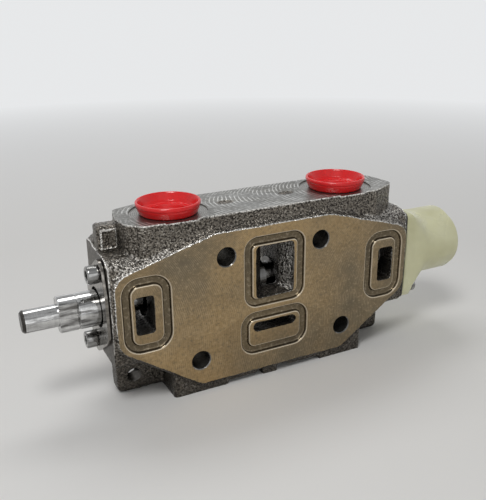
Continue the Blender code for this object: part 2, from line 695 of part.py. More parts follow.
def cut_underside(home):
    """The shallow arch between the feet, with the small boss and its notches left in the middle."""
    half = FOOT_DEPTH / 2 + CUT_PAST
    boss_left, boss_right = -CENTRE_BOSS_LEFT_X, CENTRE_BOSS_RIGHT_X
    inside = NOTCH_WIDTH / 4
    box("arch_left", (-ARCH_LEFT_X, -half, -CUT_PAST), (boss_left - inside, half, ARCH_HEIGHT), home)
    box("arch_right", (boss_right + inside, -half, -CUT_PAST), (ARCH_RIGHT_X, half, ARCH_HEIGHT), home)
    low = (boss_right, -half, -2 * CUT_PAST)
    box("notch_right", low, (boss_right + NOTCH_WIDTH, half, NOTCH_HEIGHT), home)
    low = (boss_left - NOTCH_WIDTH / 2, -half, -2 * CUT_PAST)
    box("notch_left", low, (boss_left, half, NOTCH_HEIGHT), home)


def make_valve_body(home, cutters, finishes):
    """The iron casting with all its machining."""
    additions = new_collection("body_additions")
    cuts = new_collection("body_cuts")
    body = stacked_block(home, finishes.iron)
    add_end_bosses(additions, cutters)
    add_port_pad(additions)
    add_feet(additions)
    add_lugs(additions)
    add_tag_block(additions)
    boolean(body, additions, "UNION")
    cut_grooves(cuts)
    cut_windows(cuts)
    cut_spool_bore(cuts)
    cut_ports(cuts)
    cut_bolt_holes(cuts)
    cut_underside(cuts)
    boolean(body, cuts, "DIFFERENCE")
    finish_mesh(body)


def neck(left, right):
    """Four profile points of a spool neck, from its right end to its left one."""
    return [(SPOOL_RADIUS, right), (NECK_RADIUS, right), (NECK_RADIUS, left), (SPOOL_RADIUS, left)]


def make_spool(home, cutters, finishes):
    """The spool: lands and necks, the bare shank with its tang, and the hole for the end bolt."""
    bolt_hole = BOLT_RADIUS + RUNNING_GAP
    bolt_floor = SPOOL_END_X - BOLT_ENGAGEMENT - 2 * MM
    tank_left, tank_right = TANK_NECK
    port_left, port_right = PORT_NECK
    profile = [(0, bolt_floor), (bolt_hole, bolt_floor), (bolt_hole, SPOOL_END_X)]
    profile += [(SPOOL_RADIUS - SPOOL_CHAMFER / 2, SPOOL_END_X), (SPOOL_RADIUS, SPOOL_END_X - SPOOL_CHAMFER / 2)]
    profile += neck(-tank_right, -tank_left)
    profile += neck(-port_right, -port_left)
    profile += neck(*CENTRE_NECK)
    profile += neck(port_left, port_right)
    profile += neck(tank_left, tank_right)
    profile += [
        (SPOOL_RADIUS, TANG_END_X + SPOOL_CHAMFER / 2),
        (SPOOL_RADIUS - SPOOL_CHAMFER / 2, TANG_END_X),
        (ROD_RADIUS, TANG_END_X),
        (ROD_RADIUS, SPOOL_TIP_X + SPOOL_CHAMFER),
        (ROD_RADIUS - SPOOL_CHAMFER, SPOOL_TIP_X),
        (0, SPOOL_TIP_X),
    ]
    spool = turned("spool", profile, home, on_spool_axis(), finishes.polished)
    for side in (-1, 1):
        near, far = side * TANG_WIDTH / 2, side * 2 * SPOOL_RADIUS
        low = (TANG_END_X - CUT_PAST, min(near, far), SPOOL_Z - 2 * SPOOL_RADIUS)
        high = (SHANK_END_X, max(near, far), SPOOL_Z + 2 * SPOOL_RADIUS)
        boolean(spool, box(f"tang_flat_{side}", low, high, cutters), "DIFFERENCE")
        for up in (-1, 1):
            where = at(side * port_right, 0, SPOOL_Z + up * SPOOL_RADIUS) @ ALONG_Y
            name = f"metering_notch_{side}_{up}"
            notch = cylinder(name, NOTCH_RADIUS, -NOTCH_RADIUS, NOTCH_RADIUS, cutters, where, steps=12)
            boolean(spool, notch, "DIFFERENCE")
    finish_mesh(spool)


def ring_profile(inner, outer, low, high, round_off):
    """A closed ring section with its outer corners rounded off."""
    return [
        (inner + round_off, high), (outer - round_off, high), (outer, high - round_off), (outer, low + round_off),
        (outer - round_off, low), (inner + round_off, low), (inner, low + round_off), (inner, high - round_off),
    ]


def make_seals(home, finishes):
    """The spool's two seals, the wiper behind the seal plate and the washer in front of the spring."""
    inner = SPOOL_RADIUS + RUNNING_GAP
    thick = SEAL_WIDTH / 2
    axis = on_spool_axis()
    wiper_left = -END_FACE_X + SEAT_GAP
    seal_left = wiper_left + WIPER_WIDTH + SEAT_GAP
    profile = ring_profile(inner, SEAL_OUTER_RADIUS, seal_left, seal_left + SEAL_WIDTH, 0.6 * thick)
    turned("spool_seal_left", profile, home, axis, finishes.rubber, closed=True)
    seal_right = WASHER_X - 2 * SEAT_GAP - SEAL_WIDTH
    profile = ring_profile(inner, SEAL_OUTER_RADIUS, seal_right, seal_right + SEAL_WIDTH, 0.6 * thick)
    turned("spool_seal_right", profile, home, axis, finishes.rubber, closed=True)
    body_of_wiper = wiper_left + WIPER_WIDTH
    profile = [
        (inner + WIPER_LIP, body_of_wiper), (SEAL_OUTER_RADIUS, body_of_wiper), (SEAL_OUTER_RADIUS, wiper_left),
        (inner + 2 * WIPER_LIP, wiper_left), (inner, wiper_left - WIPER_LIP / 2), (inner, wiper_left + WIPER_LIP),
    ]
    turned("wiper_ring", profile, home, axis, finishes.rubber, closed=True)
    low, high = WASHER_X, WASHER_X + WASHER_THICKNESS - SEAT_GAP
    profile = [(WASHER_RADIUS, high), (WASHER_RADIUS, low), (inner, low), (inner, high)]
    turned("spool_seal_washer", profile, home, axis, finishes.zinc, closed=True)


def plate_outline():
    """The seal plate's outline: a disc cut flat at the sides and drawn out to a lobe round each screw."""
    y, z = PLATE_SCREW
    points = circle(0, 0, PLATE_DISC_RADIUS, 48)
    for side in (-1, 1):
        points += circle(-side * y, side * z, PLATE_LOBE_RADIUS, 32)
    return hull([(max(-PLATE_HALF_DEPTH, min(PLATE_HALF_DEPTH, u)), v) for u, v in points])


def hull(points):
    """The convex outline round some points, counter-clockwise."""
    points = sorted(set(points))
    half_outlines = []
    for ordered in (points, points[::-1]):
        half_outline = []
        for u, v in ordered:
            while len(half_outline) > 1:
                (u1, v1), (u2, v2) = half_outline[-2:]
                if (u2 - u1) * (v - v1) - (v2 - v1) * (u - u1) > 1e-9:
                    break
                half_outline.pop()
            half_outline.append((u, v))
        half_outlines.append(half_outline[:-1])
    return half_outlines[0] + half_outlines[1]


def circle(centre_u, centre_v, radius, steps=SMALL_STEPS):
    """Points round a circle, clockwise."""
    turns = [-2 * math.pi * step / steps for step in range(steps)]
    return [(centre_u + radius * math.cos(turn), centre_v + radius * math.sin(turn)) for turn in turns]


def make_seal_plate(home, finishes):
    """The thin plate that keeps the wiper and the left spool seal in."""
    y, z = PLATE_SCREW
    hole = SCREW_SHANK_RADIUS + RUNNING_GAP
    spool_hole = SPOOL_RADIUS + 2 * RUNNING_GAP + WIPER_LIP
    outlines = [plate_outline(), circle(0, 0, spool_hole, ROUND_STEPS)]
    outlines += [circle(-y, z, hole, 12), circle(y, -z, hole, 12)]
    frame = at(0, 0, SPOOL_Z) @ ON_YZ
    outer_x = PLATE_FACE_X + PLATE_THICKNESS
    prism("spool_seal_plate", outlines, -outer_x, -PLATE_FACE_X, home, frame, finishes.plate)


def cap_screw(name, head_x, side, y, z, home, cutters, finish):
    """A socket-head cap screw along X. Its head sits outside head_x, on the side of the given sign."""
    top = head_x + SCREW_HEAD_HEIGHT
    profile = [
        (0, top), (SCREW_HEAD_RADIUS - SCREW_CHAMFER, top), (SCREW_HEAD_RADIUS, top - SCREW_CHAMFER),
        (SCREW_HEAD_RADIUS, head_x), (SCREW_SHANK_RADIUS, head_x),
        (SCREW_SHANK_RADIUS, END_FACE_X - SCREW_GRIP), (0, END_FACE_X - SCREW_GRIP),
    ]
    turn = ALONG_X if side > 0 else Matrix.Rotation(-math.pi / 2, 4, "Y")
    where = at(0, y, z) @ turn
    screw = turned(name, profile, home, where, finish, steps=SMALL_STEPS)
    depth = top - SCREW_SOCKET_DEPTH
    socket = cylinder(name + "_socket", SCREW_SOCKET_RADIUS, depth, top + CUT_PAST, cutters, where, steps=6)
    boolean(screw, socket, "DIFFERENCE")
    finish_mesh(screw)


def make_screws(home, cutters, finishes):
    """Two screws through the seal plate and two through the bonnet's flange."""
    y, z = PLATE_SCREW
    head = PLATE_FACE_X + PLATE_THICKNESS + SEAT_GAP
    cap_screw("seal_plate_screw_upper", head, -1, -y, SPOOL_Z + z, home, cutters, finishes.zinc)
    cap_screw("seal_plate_screw_lower", head, -1, y, SPOOL_Z - z, home, cutters, finishes.zinc)
    y, z = BONNET_SCREW
    head = FLANGE_X + BONNET_SCREW_SEAT + SEAT_GAP
    cap_screw("bonnet_screw_upper", head, 1, y, SPOOL_Z + z, home, cutters, finishes.zinc)
    cap_screw("bonnet_screw_lower", head, 1, -y, SPOOL_Z - z, home, cutters, finishes.zinc)


def make_bonnet(home, cutters, finishes):
    """The nylon spring bonnet: a rectangular flange that flares into a round cap, bored from the flange side."""
    sections = [(FLANGE_X, FLANGE_HALF_HEIGHT, FLANGE_HALF_DEPTH, 8, 0)]
    flare_steps = 7
    for step in range(flare_steps + 1):
        along = step / flare_steps
        left = (1 - along) ** 2.2
        half_z = BONNET_RADIUS + (FLANGE_HALF_HEIGHT - BONNET_RADIUS) * left
        half_y = BONNET_RADIUS + (FLANGE_HALF_DEPTH - BONNET_RADIUS) * left
        x = FLANGE_X + FLANGE_THICKNESS + FLARE_LENGTH * along
        sections.append((x, half_z, half_y, 2 + 6 * left, -BONNET_LIFT * (1 - left)))
    barrel_end = FLANGE_X + BONNET_BARREL_LENGTH
    step_radius = (2 * BONNET_RADIUS + BONNET_CAP_RADIUS) / 3
    sections.append((barrel_end, BONNET_RADIUS, BONNET_RADIUS, 2, -BONNET_LIFT))
    sections.append((barrel_end + BONNET_STEP_LENGTH / 2, step_radius, step_radius, 2, -BONNET_LIFT / 2))
    sections.append((barrel_end + BONNET_STEP_LENGTH, BONNET_CAP_RADIUS, BONNET_CAP_RADIUS, 2, 0))
    end = FLANGE_X + BONNET_LENGTH
    round_steps = 3
    for step in range(round_steps + 1):
        turn = math.pi / 2 * step / round_steps
        radius = BONNET_CAP_RADIUS - BONNET_EDGE_RADIUS * (1 - math.cos(turn))
        sections.append((end - BONNET_EDGE_RADIUS * (1 - math.sin(turn)), radius, radius, 2, 0))
    bonnet = loft("spring_bonnet", sections, home, on_spool_axis(), finishes.nylon, steps=48)
    deep = BOLT_HEAD_X + BOLT_HEAD_HEIGHT + SPOOL_TRAVEL + 1.0 * MM
    well = BOLT_HEAD_RADIUS + 3.0 * MM
    cavity = [
        (0, deep), (well, deep), (well, SEAT_STOP_X), (BONNET_BORE_RADIUS, SEAT_STOP_X),
        (BONNET_BORE_RADIUS, FLANGE_X - CUT_PAST), (0, FLANGE_X - CUT_PAST),
    ]
    boolean(bonnet, turned("bonnet_cavity", cavity, cutters, on_spool_axis()), "DIFFERENCE")
    y, z = BONNET_SCREW
    seat = FLANGE_X + BONNET_SCREW_SEAT
    hole, pocket = SCREW_SHANK_RADIUS + RUNNING_GAP, SCREW_HEAD_RADIUS + SEAT_GAP
    past = seat + 2 * SCREW_HEAD_HEIGHT
    profile = [(0, past), (pocket, past), (pocket, seat), (hole, seat), (hole, FLANGE_X - CUT_PAST)]
    profile += [(0, FLANGE_X - CUT_PAST)]
    for side in (-1, 1):
        where = at(0, side * y, SPOOL_Z + side * z) @ ALONG_X
        cut = turned(f"bonnet_screw_pocket_{side}", profile, cutters, where, steps=SMALL_STEPS)
        boolean(bonnet, cut, "DIFFERENCE")
    finish_mesh(bonnet)


def make_gasket(home, finishes):
    """The flat gasket between casting and bonnet."""
    width, height = 2 * FLANGE_HALF_DEPTH - 1.0 * MM, 2 * FLANGE_HALF_HEIGHT - 1.0 * MM
    y, z = BONNET_SCREW
    hole = SCREW_SHANK_RADIUS + RUNNING_GAP
    outlines = [rounded_rectangle(0, 0, width, height, 3.5 * MM)]
    outlines += [circle(0, 0, BONNET_BORE_RADIUS, ROUND_STEPS), circle(-y, -z, hole, 12), circle(y, z, hole, 12)]
    low = END_FACE_X + SEAT_GAP
    frame = at(0, 0, SPOOL_Z) @ ON_YZ
    prism("bonnet_gasket", outlines, low, low + GASKET_THICKNESS, home, frame, finishes.gasket)


def make_spring_set(home, cutters, finishes):
    """The two seats, the spring between them, the guide sleeve and the bolt that holds them on the spool."""
    axis = on_spool_axis()
    hole = GUIDE_RADIUS + RUNNING_GAP
    inner_back = INNER_SEAT_X + SPRING_SEAT_THICKNESS
    profile = [
        (hole, inner_back + SEAT_HUB_LENGTH), (SEAT_HUB_RADIUS, inner_back + SEAT_HUB_LENGTH),
        (SEAT_HUB_RADIUS, inner_back), (SPRING_SEAT_RADIUS, inner_back), (SPRING_SEAT_RADIUS, INNER_SEAT_X),
        (hole, INNER_SEAT_X),
    ]
    turned("inner_spring_seat", profile, home, axis, finishes.zinc, closed=True)
    outer_back = OUTER_SEAT_X + SPRING_SEAT_THICKNESS
    profile = [
        (hole, outer_back), (SPRING_SEAT_RADIUS, outer_back), (SPRING_SEAT_RADIUS, OUTER_SEAT_X),
        (SEAT_HUB_RADIUS, OUTER_SEAT_X), (SEAT_HUB_RADIUS, OUTER_SEAT_X - SEAT_HUB_LENGTH),
        (hole, OUTER_SEAT_X - SEAT_HUB_LENGTH),
    ]
    turned("outer_spring_seat", profile, home, axis, finishes.zinc, closed=True)
    bolt_hole = BOLT_RADIUS + RUNNING_GAP
    low, high = SPOOL_END_X + SEAT_GAP, BOLT_HEAD_X - SEAT_GAP
    profile = [(GUIDE_RADIUS, high), (GUIDE_RADIUS, low), (bolt_hole, low), (bolt_hole, high)]
    turned("spring_guide", profile, home, axis, finishes.zinc, SMALL_STEPS, closed=True)
    make_spring(home, finishes)
    top = BOLT_HEAD_X + BOLT_HEAD_HEIGHT
    tip = SPOOL_END_X - BOLT_ENGAGEMENT
    profile = [
        (0, top), (BOLT_HEAD_RADIUS - SCREW_CHAMFER, top), (BOLT_HEAD_RADIUS, top - SCREW_CHAMFER),
        (BOLT_HEAD_RADIUS, BOLT_HEAD_X), (BOLT_RADIUS, BOLT_HEAD_X), (BOLT_RADIUS, tip), (0, tip),
    ]
    bolt = turned("spool_end_bolt", profile, home, axis, finishes.zinc, SMALL_STEPS)
    depth = top - BOLT_SOCKET_DEPTH
    socket = cylinder("bolt_socket", BOLT_SOCKET_RADIUS, depth, top + CUT_PAST, cutters, axis, steps=6)
    boolean(bolt, socket, "DIFFERENCE")
    finish_mesh(bolt)


def make_spring(home, finishes):
    """The centring spring, a coil with a closed turn at each end."""
    points_a_turn = 14
    count = int(SPRING_TURNS * points_a_turn)
    travel = SPRING_LENGTH - 2 * SPRING_WIRE_RADIUS
    closed_pitch = 2.15 * SPRING_WIRE_RADIUS
    open_pitch = (travel - 2 * closed_pitch) / (SPRING_TURNS - 2)
    curve = bpy.data.curves.new("centring_spring", "CURVE")
    curve.dimensions = "3D"
    curve.bevel_depth = SPRING_WIRE_RADIUS
    curve.bevel_resolution = 2
    curve.use_fill_caps = True
    spline = curve.splines.new("POLY")
    spline.points.add(count)
    height = 0.0
    for index, point in enumerate(spline.points):
        turn = index / points_a_turn
        angle = 2 * math.pi * turn
        x, y = SPRING_MEAN_RADIUS * math.cos(angle), SPRING_MEAN_RADIUS * math.sin(angle)
        point.co = (x, y, height, 1)
        at_an_end = turn < 1 or turn >= SPRING_TURNS - 1
        height += (closed_pitch if at_an_end else open_pitch) / points_a_turn
    spring = bpy.data.objects.new("centring_spring", curve)
    home.objects.link(spring)
    spring.matrix_world = on_spool_axis(SPRING_X + SPRING_WIRE_RADIUS)
    curve.materials.append(finishes.spring)


def make_plugs(home, finishes):
    """The plastic plugs in the work ports: a flared cup on a short hollow shank."""
    foot = SEAT_GAP - SPOTFACE_DEPTH
    rim = PLUG_HEIGHT
    floor = rim - PLUG_FLOOR_DEPTH
    well = floor - PLUG_WELL_DEPTH
    inner_rim = PLUG_RIM_RADIUS - PLUG_WALL
    inner_foot = PLUG_FOOT_RADIUS - PLUG_WALL
    shank_end = -PLUG_SHANK_LENGTH
    hollow = PLUG_SHANK_RADIUS - PLUG_WALL
    profile = [
        (0, well), (PLUG_WELL_RADIUS - 0.5 * MM, well), (PLUG_WELL_RADIUS, floor),
        (inner_foot - 0.6 * MM, floor), (inner_foot, floor + 0.8 * MM),
        (inner_rim, rim - 0.5 * MM), (inner_rim + 0.4 * MM, rim), (PLUG_RIM_RADIUS - 0.4 * MM, rim),
        (PLUG_RIM_RADIUS, rim - 0.5 * MM), (PLUG_RIM_RADIUS - 0.1 * MM, rim - 2.2 * MM),
        (PLUG_RIM_RADIUS - 0.7 * MM, rim - 3.6 * MM),
        (PLUG_FOOT_RADIUS, foot + 0.5 * MM), (PLUG_FOOT_RADIUS - 0.5 * MM, foot), (PLUG_SHANK_RADIUS, foot),
        (PLUG_SHANK_RADIUS, shank_end + 1.0 * MM), (PLUG_SHANK_RADIUS - 1.0 * MM, shank_end),
        (hollow - 1.0 * MM, shank_end), (hollow - 1.0 * MM, well - PLUG_WALL), (0, well - PLUG_WALL),
    ]
    for name, side in (("port_plug_left", -1), ("port_plug_right", 1)):
        turned(name, profile, home, at(side * PORT_X, 0, PAD_TOP_Z), finishes.red)


def main():
    """Builds the section piece by piece."""
    clear_scene()
    valve = new_collection("sectional_control_valve")
    cutters = new_collection("cutters")
    finishes = Finishes()
    make_valve_body(valve, cutters, finishes)
    make_spool(valve, cutters, finishes)
    make_seals(valve, finishes)
    make_seal_plate(valve, finishes)
    make_screws(valve, cutters, finishes)
    make_bonnet(valve, cutters, finishes)
    make_gasket(valve, finishes)
    make_spring_set(valve, cutters, finishes)
    make_plugs(valve, finishes)


if __name__ == "__main__":
    main()
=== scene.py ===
"""Looks of one work section of a stacked hydraulic valve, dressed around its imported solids.

Each sub-assembly holds its sizes in millimetres, in the frame of the solids: X runs along the spool from its bare
end to the bonnet, Y from the grooved stacking face to the rear one, and Z is up. A shape is made in millimetres
and becomes metres when its piece is placed.
"""

import logging
import math
from dataclasses import dataclass, field
from enum import Enum
from typing import Any, Iterable, Sequence

import bmesh
import bpy
from mathutils import Matrix, Vector, noise
from mathutils.kdtree import KDTree


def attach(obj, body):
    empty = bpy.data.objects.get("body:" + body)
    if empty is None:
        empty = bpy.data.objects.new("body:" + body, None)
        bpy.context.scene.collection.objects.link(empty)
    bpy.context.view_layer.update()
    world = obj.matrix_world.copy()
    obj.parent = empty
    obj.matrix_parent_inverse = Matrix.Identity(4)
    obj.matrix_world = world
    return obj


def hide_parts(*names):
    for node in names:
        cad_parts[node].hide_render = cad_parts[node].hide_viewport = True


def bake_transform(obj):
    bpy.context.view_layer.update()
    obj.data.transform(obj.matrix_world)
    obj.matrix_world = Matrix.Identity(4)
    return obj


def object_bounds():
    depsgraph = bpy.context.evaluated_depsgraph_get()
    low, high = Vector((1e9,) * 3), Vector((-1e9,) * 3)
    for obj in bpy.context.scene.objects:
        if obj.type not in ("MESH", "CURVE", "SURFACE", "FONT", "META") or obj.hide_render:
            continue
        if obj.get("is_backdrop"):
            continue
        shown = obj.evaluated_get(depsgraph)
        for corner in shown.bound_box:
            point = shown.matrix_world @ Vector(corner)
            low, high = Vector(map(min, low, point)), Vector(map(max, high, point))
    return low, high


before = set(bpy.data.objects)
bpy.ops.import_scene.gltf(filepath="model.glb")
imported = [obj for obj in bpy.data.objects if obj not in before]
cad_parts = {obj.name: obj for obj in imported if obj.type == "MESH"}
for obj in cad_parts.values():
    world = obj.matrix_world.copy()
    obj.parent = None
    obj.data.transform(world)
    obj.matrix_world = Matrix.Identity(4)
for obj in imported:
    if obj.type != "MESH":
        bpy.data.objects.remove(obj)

LOG = logging.getLogger("valve_section")
MM = 0.001
SPOOL_Z = 56.3
END_FACE_X = 96.4
HALF_THICKNESS = 23.0
# dark of the painted shade inside passages, and of the smudge and painted reflection streaks on steel
SHADE_AND_OIL_DARK = (0.03, 0.026, 0.022)

Point = tuple[float, float]
Colour = tuple[float, float, float]

UPRIGHT = Matrix.Identity(4)
ALONG_X = Matrix.Rotation(math.pi / 2, 4, "Y")
ALONG_Y = Matrix.Rotation(-math.pi / 2, 4, "X")
ON_XZ = Matrix(((1, 0, 0, 0), (0, 0, -1, 0), (0, 1, 0, 0), (0, 0, 0, 1)))
ON_YZ = Matrix(((0, 0, 1, 0), (1, 0, 0, 0), (0, 1, 0, 0), (0, 0, 0, 1)))


class Body(Enum):
    """The bodies that pieces ride on."""

    SECTION = "section"
    SPOOL = "spool_and_bolt"
    INNER_SEAT = "inner_seat"
    OUTER_SEAT = "outer_seat"
    PLUG_LEFT = "plug_left"
    PLUG_RIGHT = "plug_right"


class Cut(Enum):
    """The ways of combining two solids."""

    JOIN = "UNION"
    REMOVE = "DIFFERENCE"
    KEEP_COMMON = "INTERSECT"


class Surface(Enum):
    """The surfaces of the casting, in the order of its material slots."""

    CAST = 0
    STACKING = 1
    PAD = 2
    TURNED = 3
    BORED = 4
    GROOVED = 5
    ENDS = 6


class Marks(Enum):
    """The tool marks that a machined surface carries."""

    FACE_MILLED = "crossing arcs of a wide face mill"
    FLY_CUT = "open arcs of one pass along X"
    TURNED = "rings round an axis"
    # lipped edges are partly rubbed bright and partly painted highlight
    LIPPED = "none, with bright broken edges"
    PLAIN = "none"


def at(x: float = 0.0, y: float = 0.0, z: float = 0.0) -> Matrix:
    """A move to a place, in millimetres."""
    return Matrix.Translation((x, y, z))


def on_spool_axis(x: float = 0.0) -> Matrix:
    """The frame of a piece whose own Z runs along the spool."""
    return at(x, 0, SPOOL_Z) @ ALONG_X


def rounded(corners: Sequence[Point], radii: float | Sequence[float], steps: int = 6) -> list[Point]:
    """Rounds the corners of a closed outline.

    Args:
        corners: the outline's corners, counter-clockwise.
        radii: one radius for all corners, or one for each.
        steps: the straight stretches in each arc.

    Returns:
        The points of the outline.
    """
    if isinstance(radii, (int, float)):
        radii = [radii] * len(corners)
    outline = []
    for index, ((x, y), radius) in enumerate(zip(corners, radii)):
        before, after = corners[index - 1], corners[(index + 1) % len(corners)]
        heading = math.atan2(y - before[1], x - before[0])
        turn = math.atan2(after[1] - y, after[0] - x) - heading
        turn = (turn + math.pi) % (2 * math.pi) - math.pi
        if radius <= 0 or abs(turn) < 0.01:
            outline.append((x, y))
            continue
        back = radius * math.tan(abs(turn) / 2)
        side = math.copysign(1, turn)
        start = (x - back * math.cos(heading), y - back * math.sin(heading))
        centre = (start[0] - side * radius * math.sin(heading), start[1] + side * radius * math.cos(heading))
        for step in range(steps + 1):
            angle = heading + turn * step / steps - side * math.pi / 2
            outline.append((centre[0] + radius * math.cos(angle), centre[1] + radius * math.sin(angle)))
    return outline


def rectangle(centre: Point, width: float, height: float, radius: float, steps: int = 6) -> list[Point]:
    """A rectangle's outline with round corners."""
    (x, y), u, v = centre, width / 2, height / 2
    return rounded([(x - u, y - v), (x + u, y - v), (x + u, y + v), (x - u, y + v)], radius, steps)


def mirrored(right_half: Sequence[Point]) -> list[Point]:
    """A whole outline from its right half, which runs upwards."""
    return list(right_half) + [(-x, y) for x, y in reversed(right_half)]


def softened(profile: Sequence[Point], radii: Sequence[float], steps: int = 4) -> list[Point]:
    """Rounds the inner corners of an open profile, whose two ends stay as they are."""
    radii = [0, *radii, 0]
    return rounded(profile, radii, steps)


def closed_up(bm: bmesh.types.BMesh, matrix: Matrix) -> bmesh.types.BMesh:
    """Merges doubled points, turns the faces outwards and puts the shape in its place."""
    bmesh.ops.remove_doubles(bm, verts=bm.verts, dist=0.0005)
    bmesh.ops.dissolve_degenerate(bm, dist=0.0005, edges=bm.edges)
    bmesh.ops.transform(bm, matrix=matrix, verts=bm.verts)
    bmesh.ops.recalc_face_normals(bm, faces=bm.faces)
    return bm


def prism(outline: Sequence[Point], low: float, high: float, matrix: Matrix, edge: float = 0.0) -> bmesh.types.BMesh:
    """A flat outline drawn out along its frame's Z.

    Args:
        outline: the points round the face.
        low: where it starts.
        high: where it ends.
        matrix: the frame it is drawn in.
        edge: the width of the bevel round both ends.

    Returns:
        The closed shape.
    """
    bm = bmesh.new()
    face = bm.faces.new([bm.verts.new((u, v, low)) for u, v in outline])
    drawn = bmesh.ops.extrude_face_region(bm, geom=[face])
    top = [item for item in drawn["geom"] if isinstance(item, bmesh.types.BMVert)]
    bmesh.ops.translate(bm, vec=(0, 0, high - low), verts=top)
    if edge:
        rims = [e for e in bm.edges if abs(e.verts[0].co.z - e.verts[1].co.z) < 1e-6]
        bmesh.ops.bevel(bm, geom=rims, offset=edge, offset_type="OFFSET", affect="EDGES", segments=1,
                        profile=0.5, material=-1, clamp_overlap=True)
    return closed_up(bm, matrix)


def block(low: Sequence[float], high: Sequence[float], edge: float = 0.0) -> bmesh.types.BMesh:
    """A box between two corners, with its edges bevelled."""
    bm = bmesh.new()
    bmesh.ops.create_cube(bm, size=1.0)
    bmesh.ops.scale(bm, vec=[b - a for a, b in zip(low, high)], verts=bm.verts)
    bmesh.ops.translate(bm, vec=[(a + b) / 2 for a, b in zip(low, high)], verts=bm.verts)
    if edge:
        bmesh.ops.bevel(bm, geom=bm.edges[:], offset=edge, offset_type="OFFSET", affect="EDGES", segments=2,
                        profile=0.5, material=-1, clamp_overlap=True)
    return closed_up(bm, UPRIGHT)


def spun(profile: Sequence[Point], matrix: Matrix, steps: int = 96, ring: bool = False) -> bmesh.types.BMesh:
    """A shape turned about its frame's Z.

    Args:
        profile: (radius, height) points. An open profile starts and ends on the axis.
        matrix: the frame it is turned in.
        steps: the facets round the axis.
        ring: whether the profile closes on itself, clear of the axis.

    Returns:
        The closed shape.
    """
    bm = bmesh.new()
    verts = [bm.verts.new((radius, 0, height)) for radius, height in profile]
    pairs = list(zip(verts, verts[1:])) + ([(verts[-1], verts[0])] if ring else [])
    edges = [bm.edges.new(pair) for pair in pairs]
    bmesh.ops.spin(bm, geom=verts + edges, cent=(0, 0, 0), axis=(0, 0, 1), dvec=(0, 0, 0), angle=2 * math.pi,
                   steps=steps, use_merge=True, use_duplicate=False)
    return closed_up(bm, matrix)


def bridged(rings: Sequence[Sequence[Sequence[float]]], matrix: Matrix) -> bmesh.types.BMesh:
    """A skin over rings of equally many points, capped at both ends.

    Args:
        rings: the rings in order, each a list of points in the frame.
        matrix: the frame.

    Returns:
        The closed shape.
    """
    bm = bmesh.new()
    loops = []
    for ring in rings:
        verts = [bm.verts.new(point) for point in ring]
        loops.append([bm.edges.new(pair) for pair in zip(verts, verts[1:] + verts[:1])])
        if ring in (rings[0], rings[-1]):
            bm.faces.new(verts)
    for first, second in zip(loops, loops[1:]):
        bmesh.ops.bridge_loops(bm, edges=first + second)
    return closed_up(bm, matrix)


def as_object(name: str, bm: bmesh.types.BMesh) -> bpy.types.Object:
    """Makes a loose object of a shape, still in millimetres, and frees the shape."""
    mesh = bpy.data.meshes.new(name)
    bm.to_mesh(mesh)
    bm.free()
    made = bpy.data.objects.new(name, mesh)
    bpy.context.scene.collection.objects.link(made)
    return made


def settled(obj: bpy.types.Object) -> None:
    """Applies an object's modifiers to its mesh."""
    graph = bpy.context.evaluated_depsgraph_get()
    mesh = bpy.data.meshes.new_from_object(obj.evaluated_get(graph))
    old = obj.data
    obj.modifiers.clear()
    obj.data = mesh
    bpy.data.meshes.remove(old)


def combine(obj: bpy.types.Object, tool: bmesh.types.BMesh, cut: Cut, surface: Surface = Surface.CAST) -> None:
    """Joins a shape to an object or cuts it out of it.

    Args:
        obj: the object that changes.
        tool: the other shape, which is used up.
        cut: how the two combine.
        surface: the material slot of the faces that the shape leaves.
    """
    for face in tool.faces:
        face.material_index = surface.value
    helper = as_object("cutting_tool", tool)
    for _ in obj.data.materials:
        helper.data.materials.append(None)
    made = obj.modifiers.new("cut", "BOOLEAN")
    made.operation = cut.value
    made.material_mode = "INDEX"
    made.solver = "MANIFOLD"
    made.object = helper
    settled(obj)
    mesh = helper.data
    bpy.data.objects.remove(helper)
    bpy.data.meshes.remove(mesh)


def shade(obj: bpy.types.Object, degrees: float = 35.0) -> None:
    """Shades smooth, with sharp edges where faces meet at more than the angle."""
    obj.data.shade_smooth()
    obj.data.set_sharp_from_angle(angle=math.radians(degrees))


def placed(obj: bpy.types.Object, materials: Sequence[bpy.types.Material], body: Body | None, slot: str,
           *nodes: str) -> bpy.types.Object:
    """Turns a shape in millimetres into a piece in metres that rides on its body.

    Args:
        obj: the shape's object.
        materials: its finishes, in the order of its slots.
        body: the body that carries it, or None for a piece that lies between two.
        slot: the record's material slot; not used.
        nodes: the nodes that it stands for.

    Returns:
        The same object.
    """
    obj.data.transform(Matrix.Scale(MM, 4))
    shade(obj)
    slots = [0] * len(obj.data.polygons)
    if len(materials) > 1:
        obj.data.polygons.foreach_get("material_index", slots)
    obj.data.materials.clear()
    for material in materials:
        obj.data.materials.append(material)
    obj.data.polygons.foreach_set("material_index", slots)
    if body is not None:
        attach(obj, body.value)
    if nodes:
        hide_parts(*nodes)
    LOG.info("%s: %d faces on %s", obj.name, len(obj.data.polygons), body.value if body else "two bodies")
    return obj


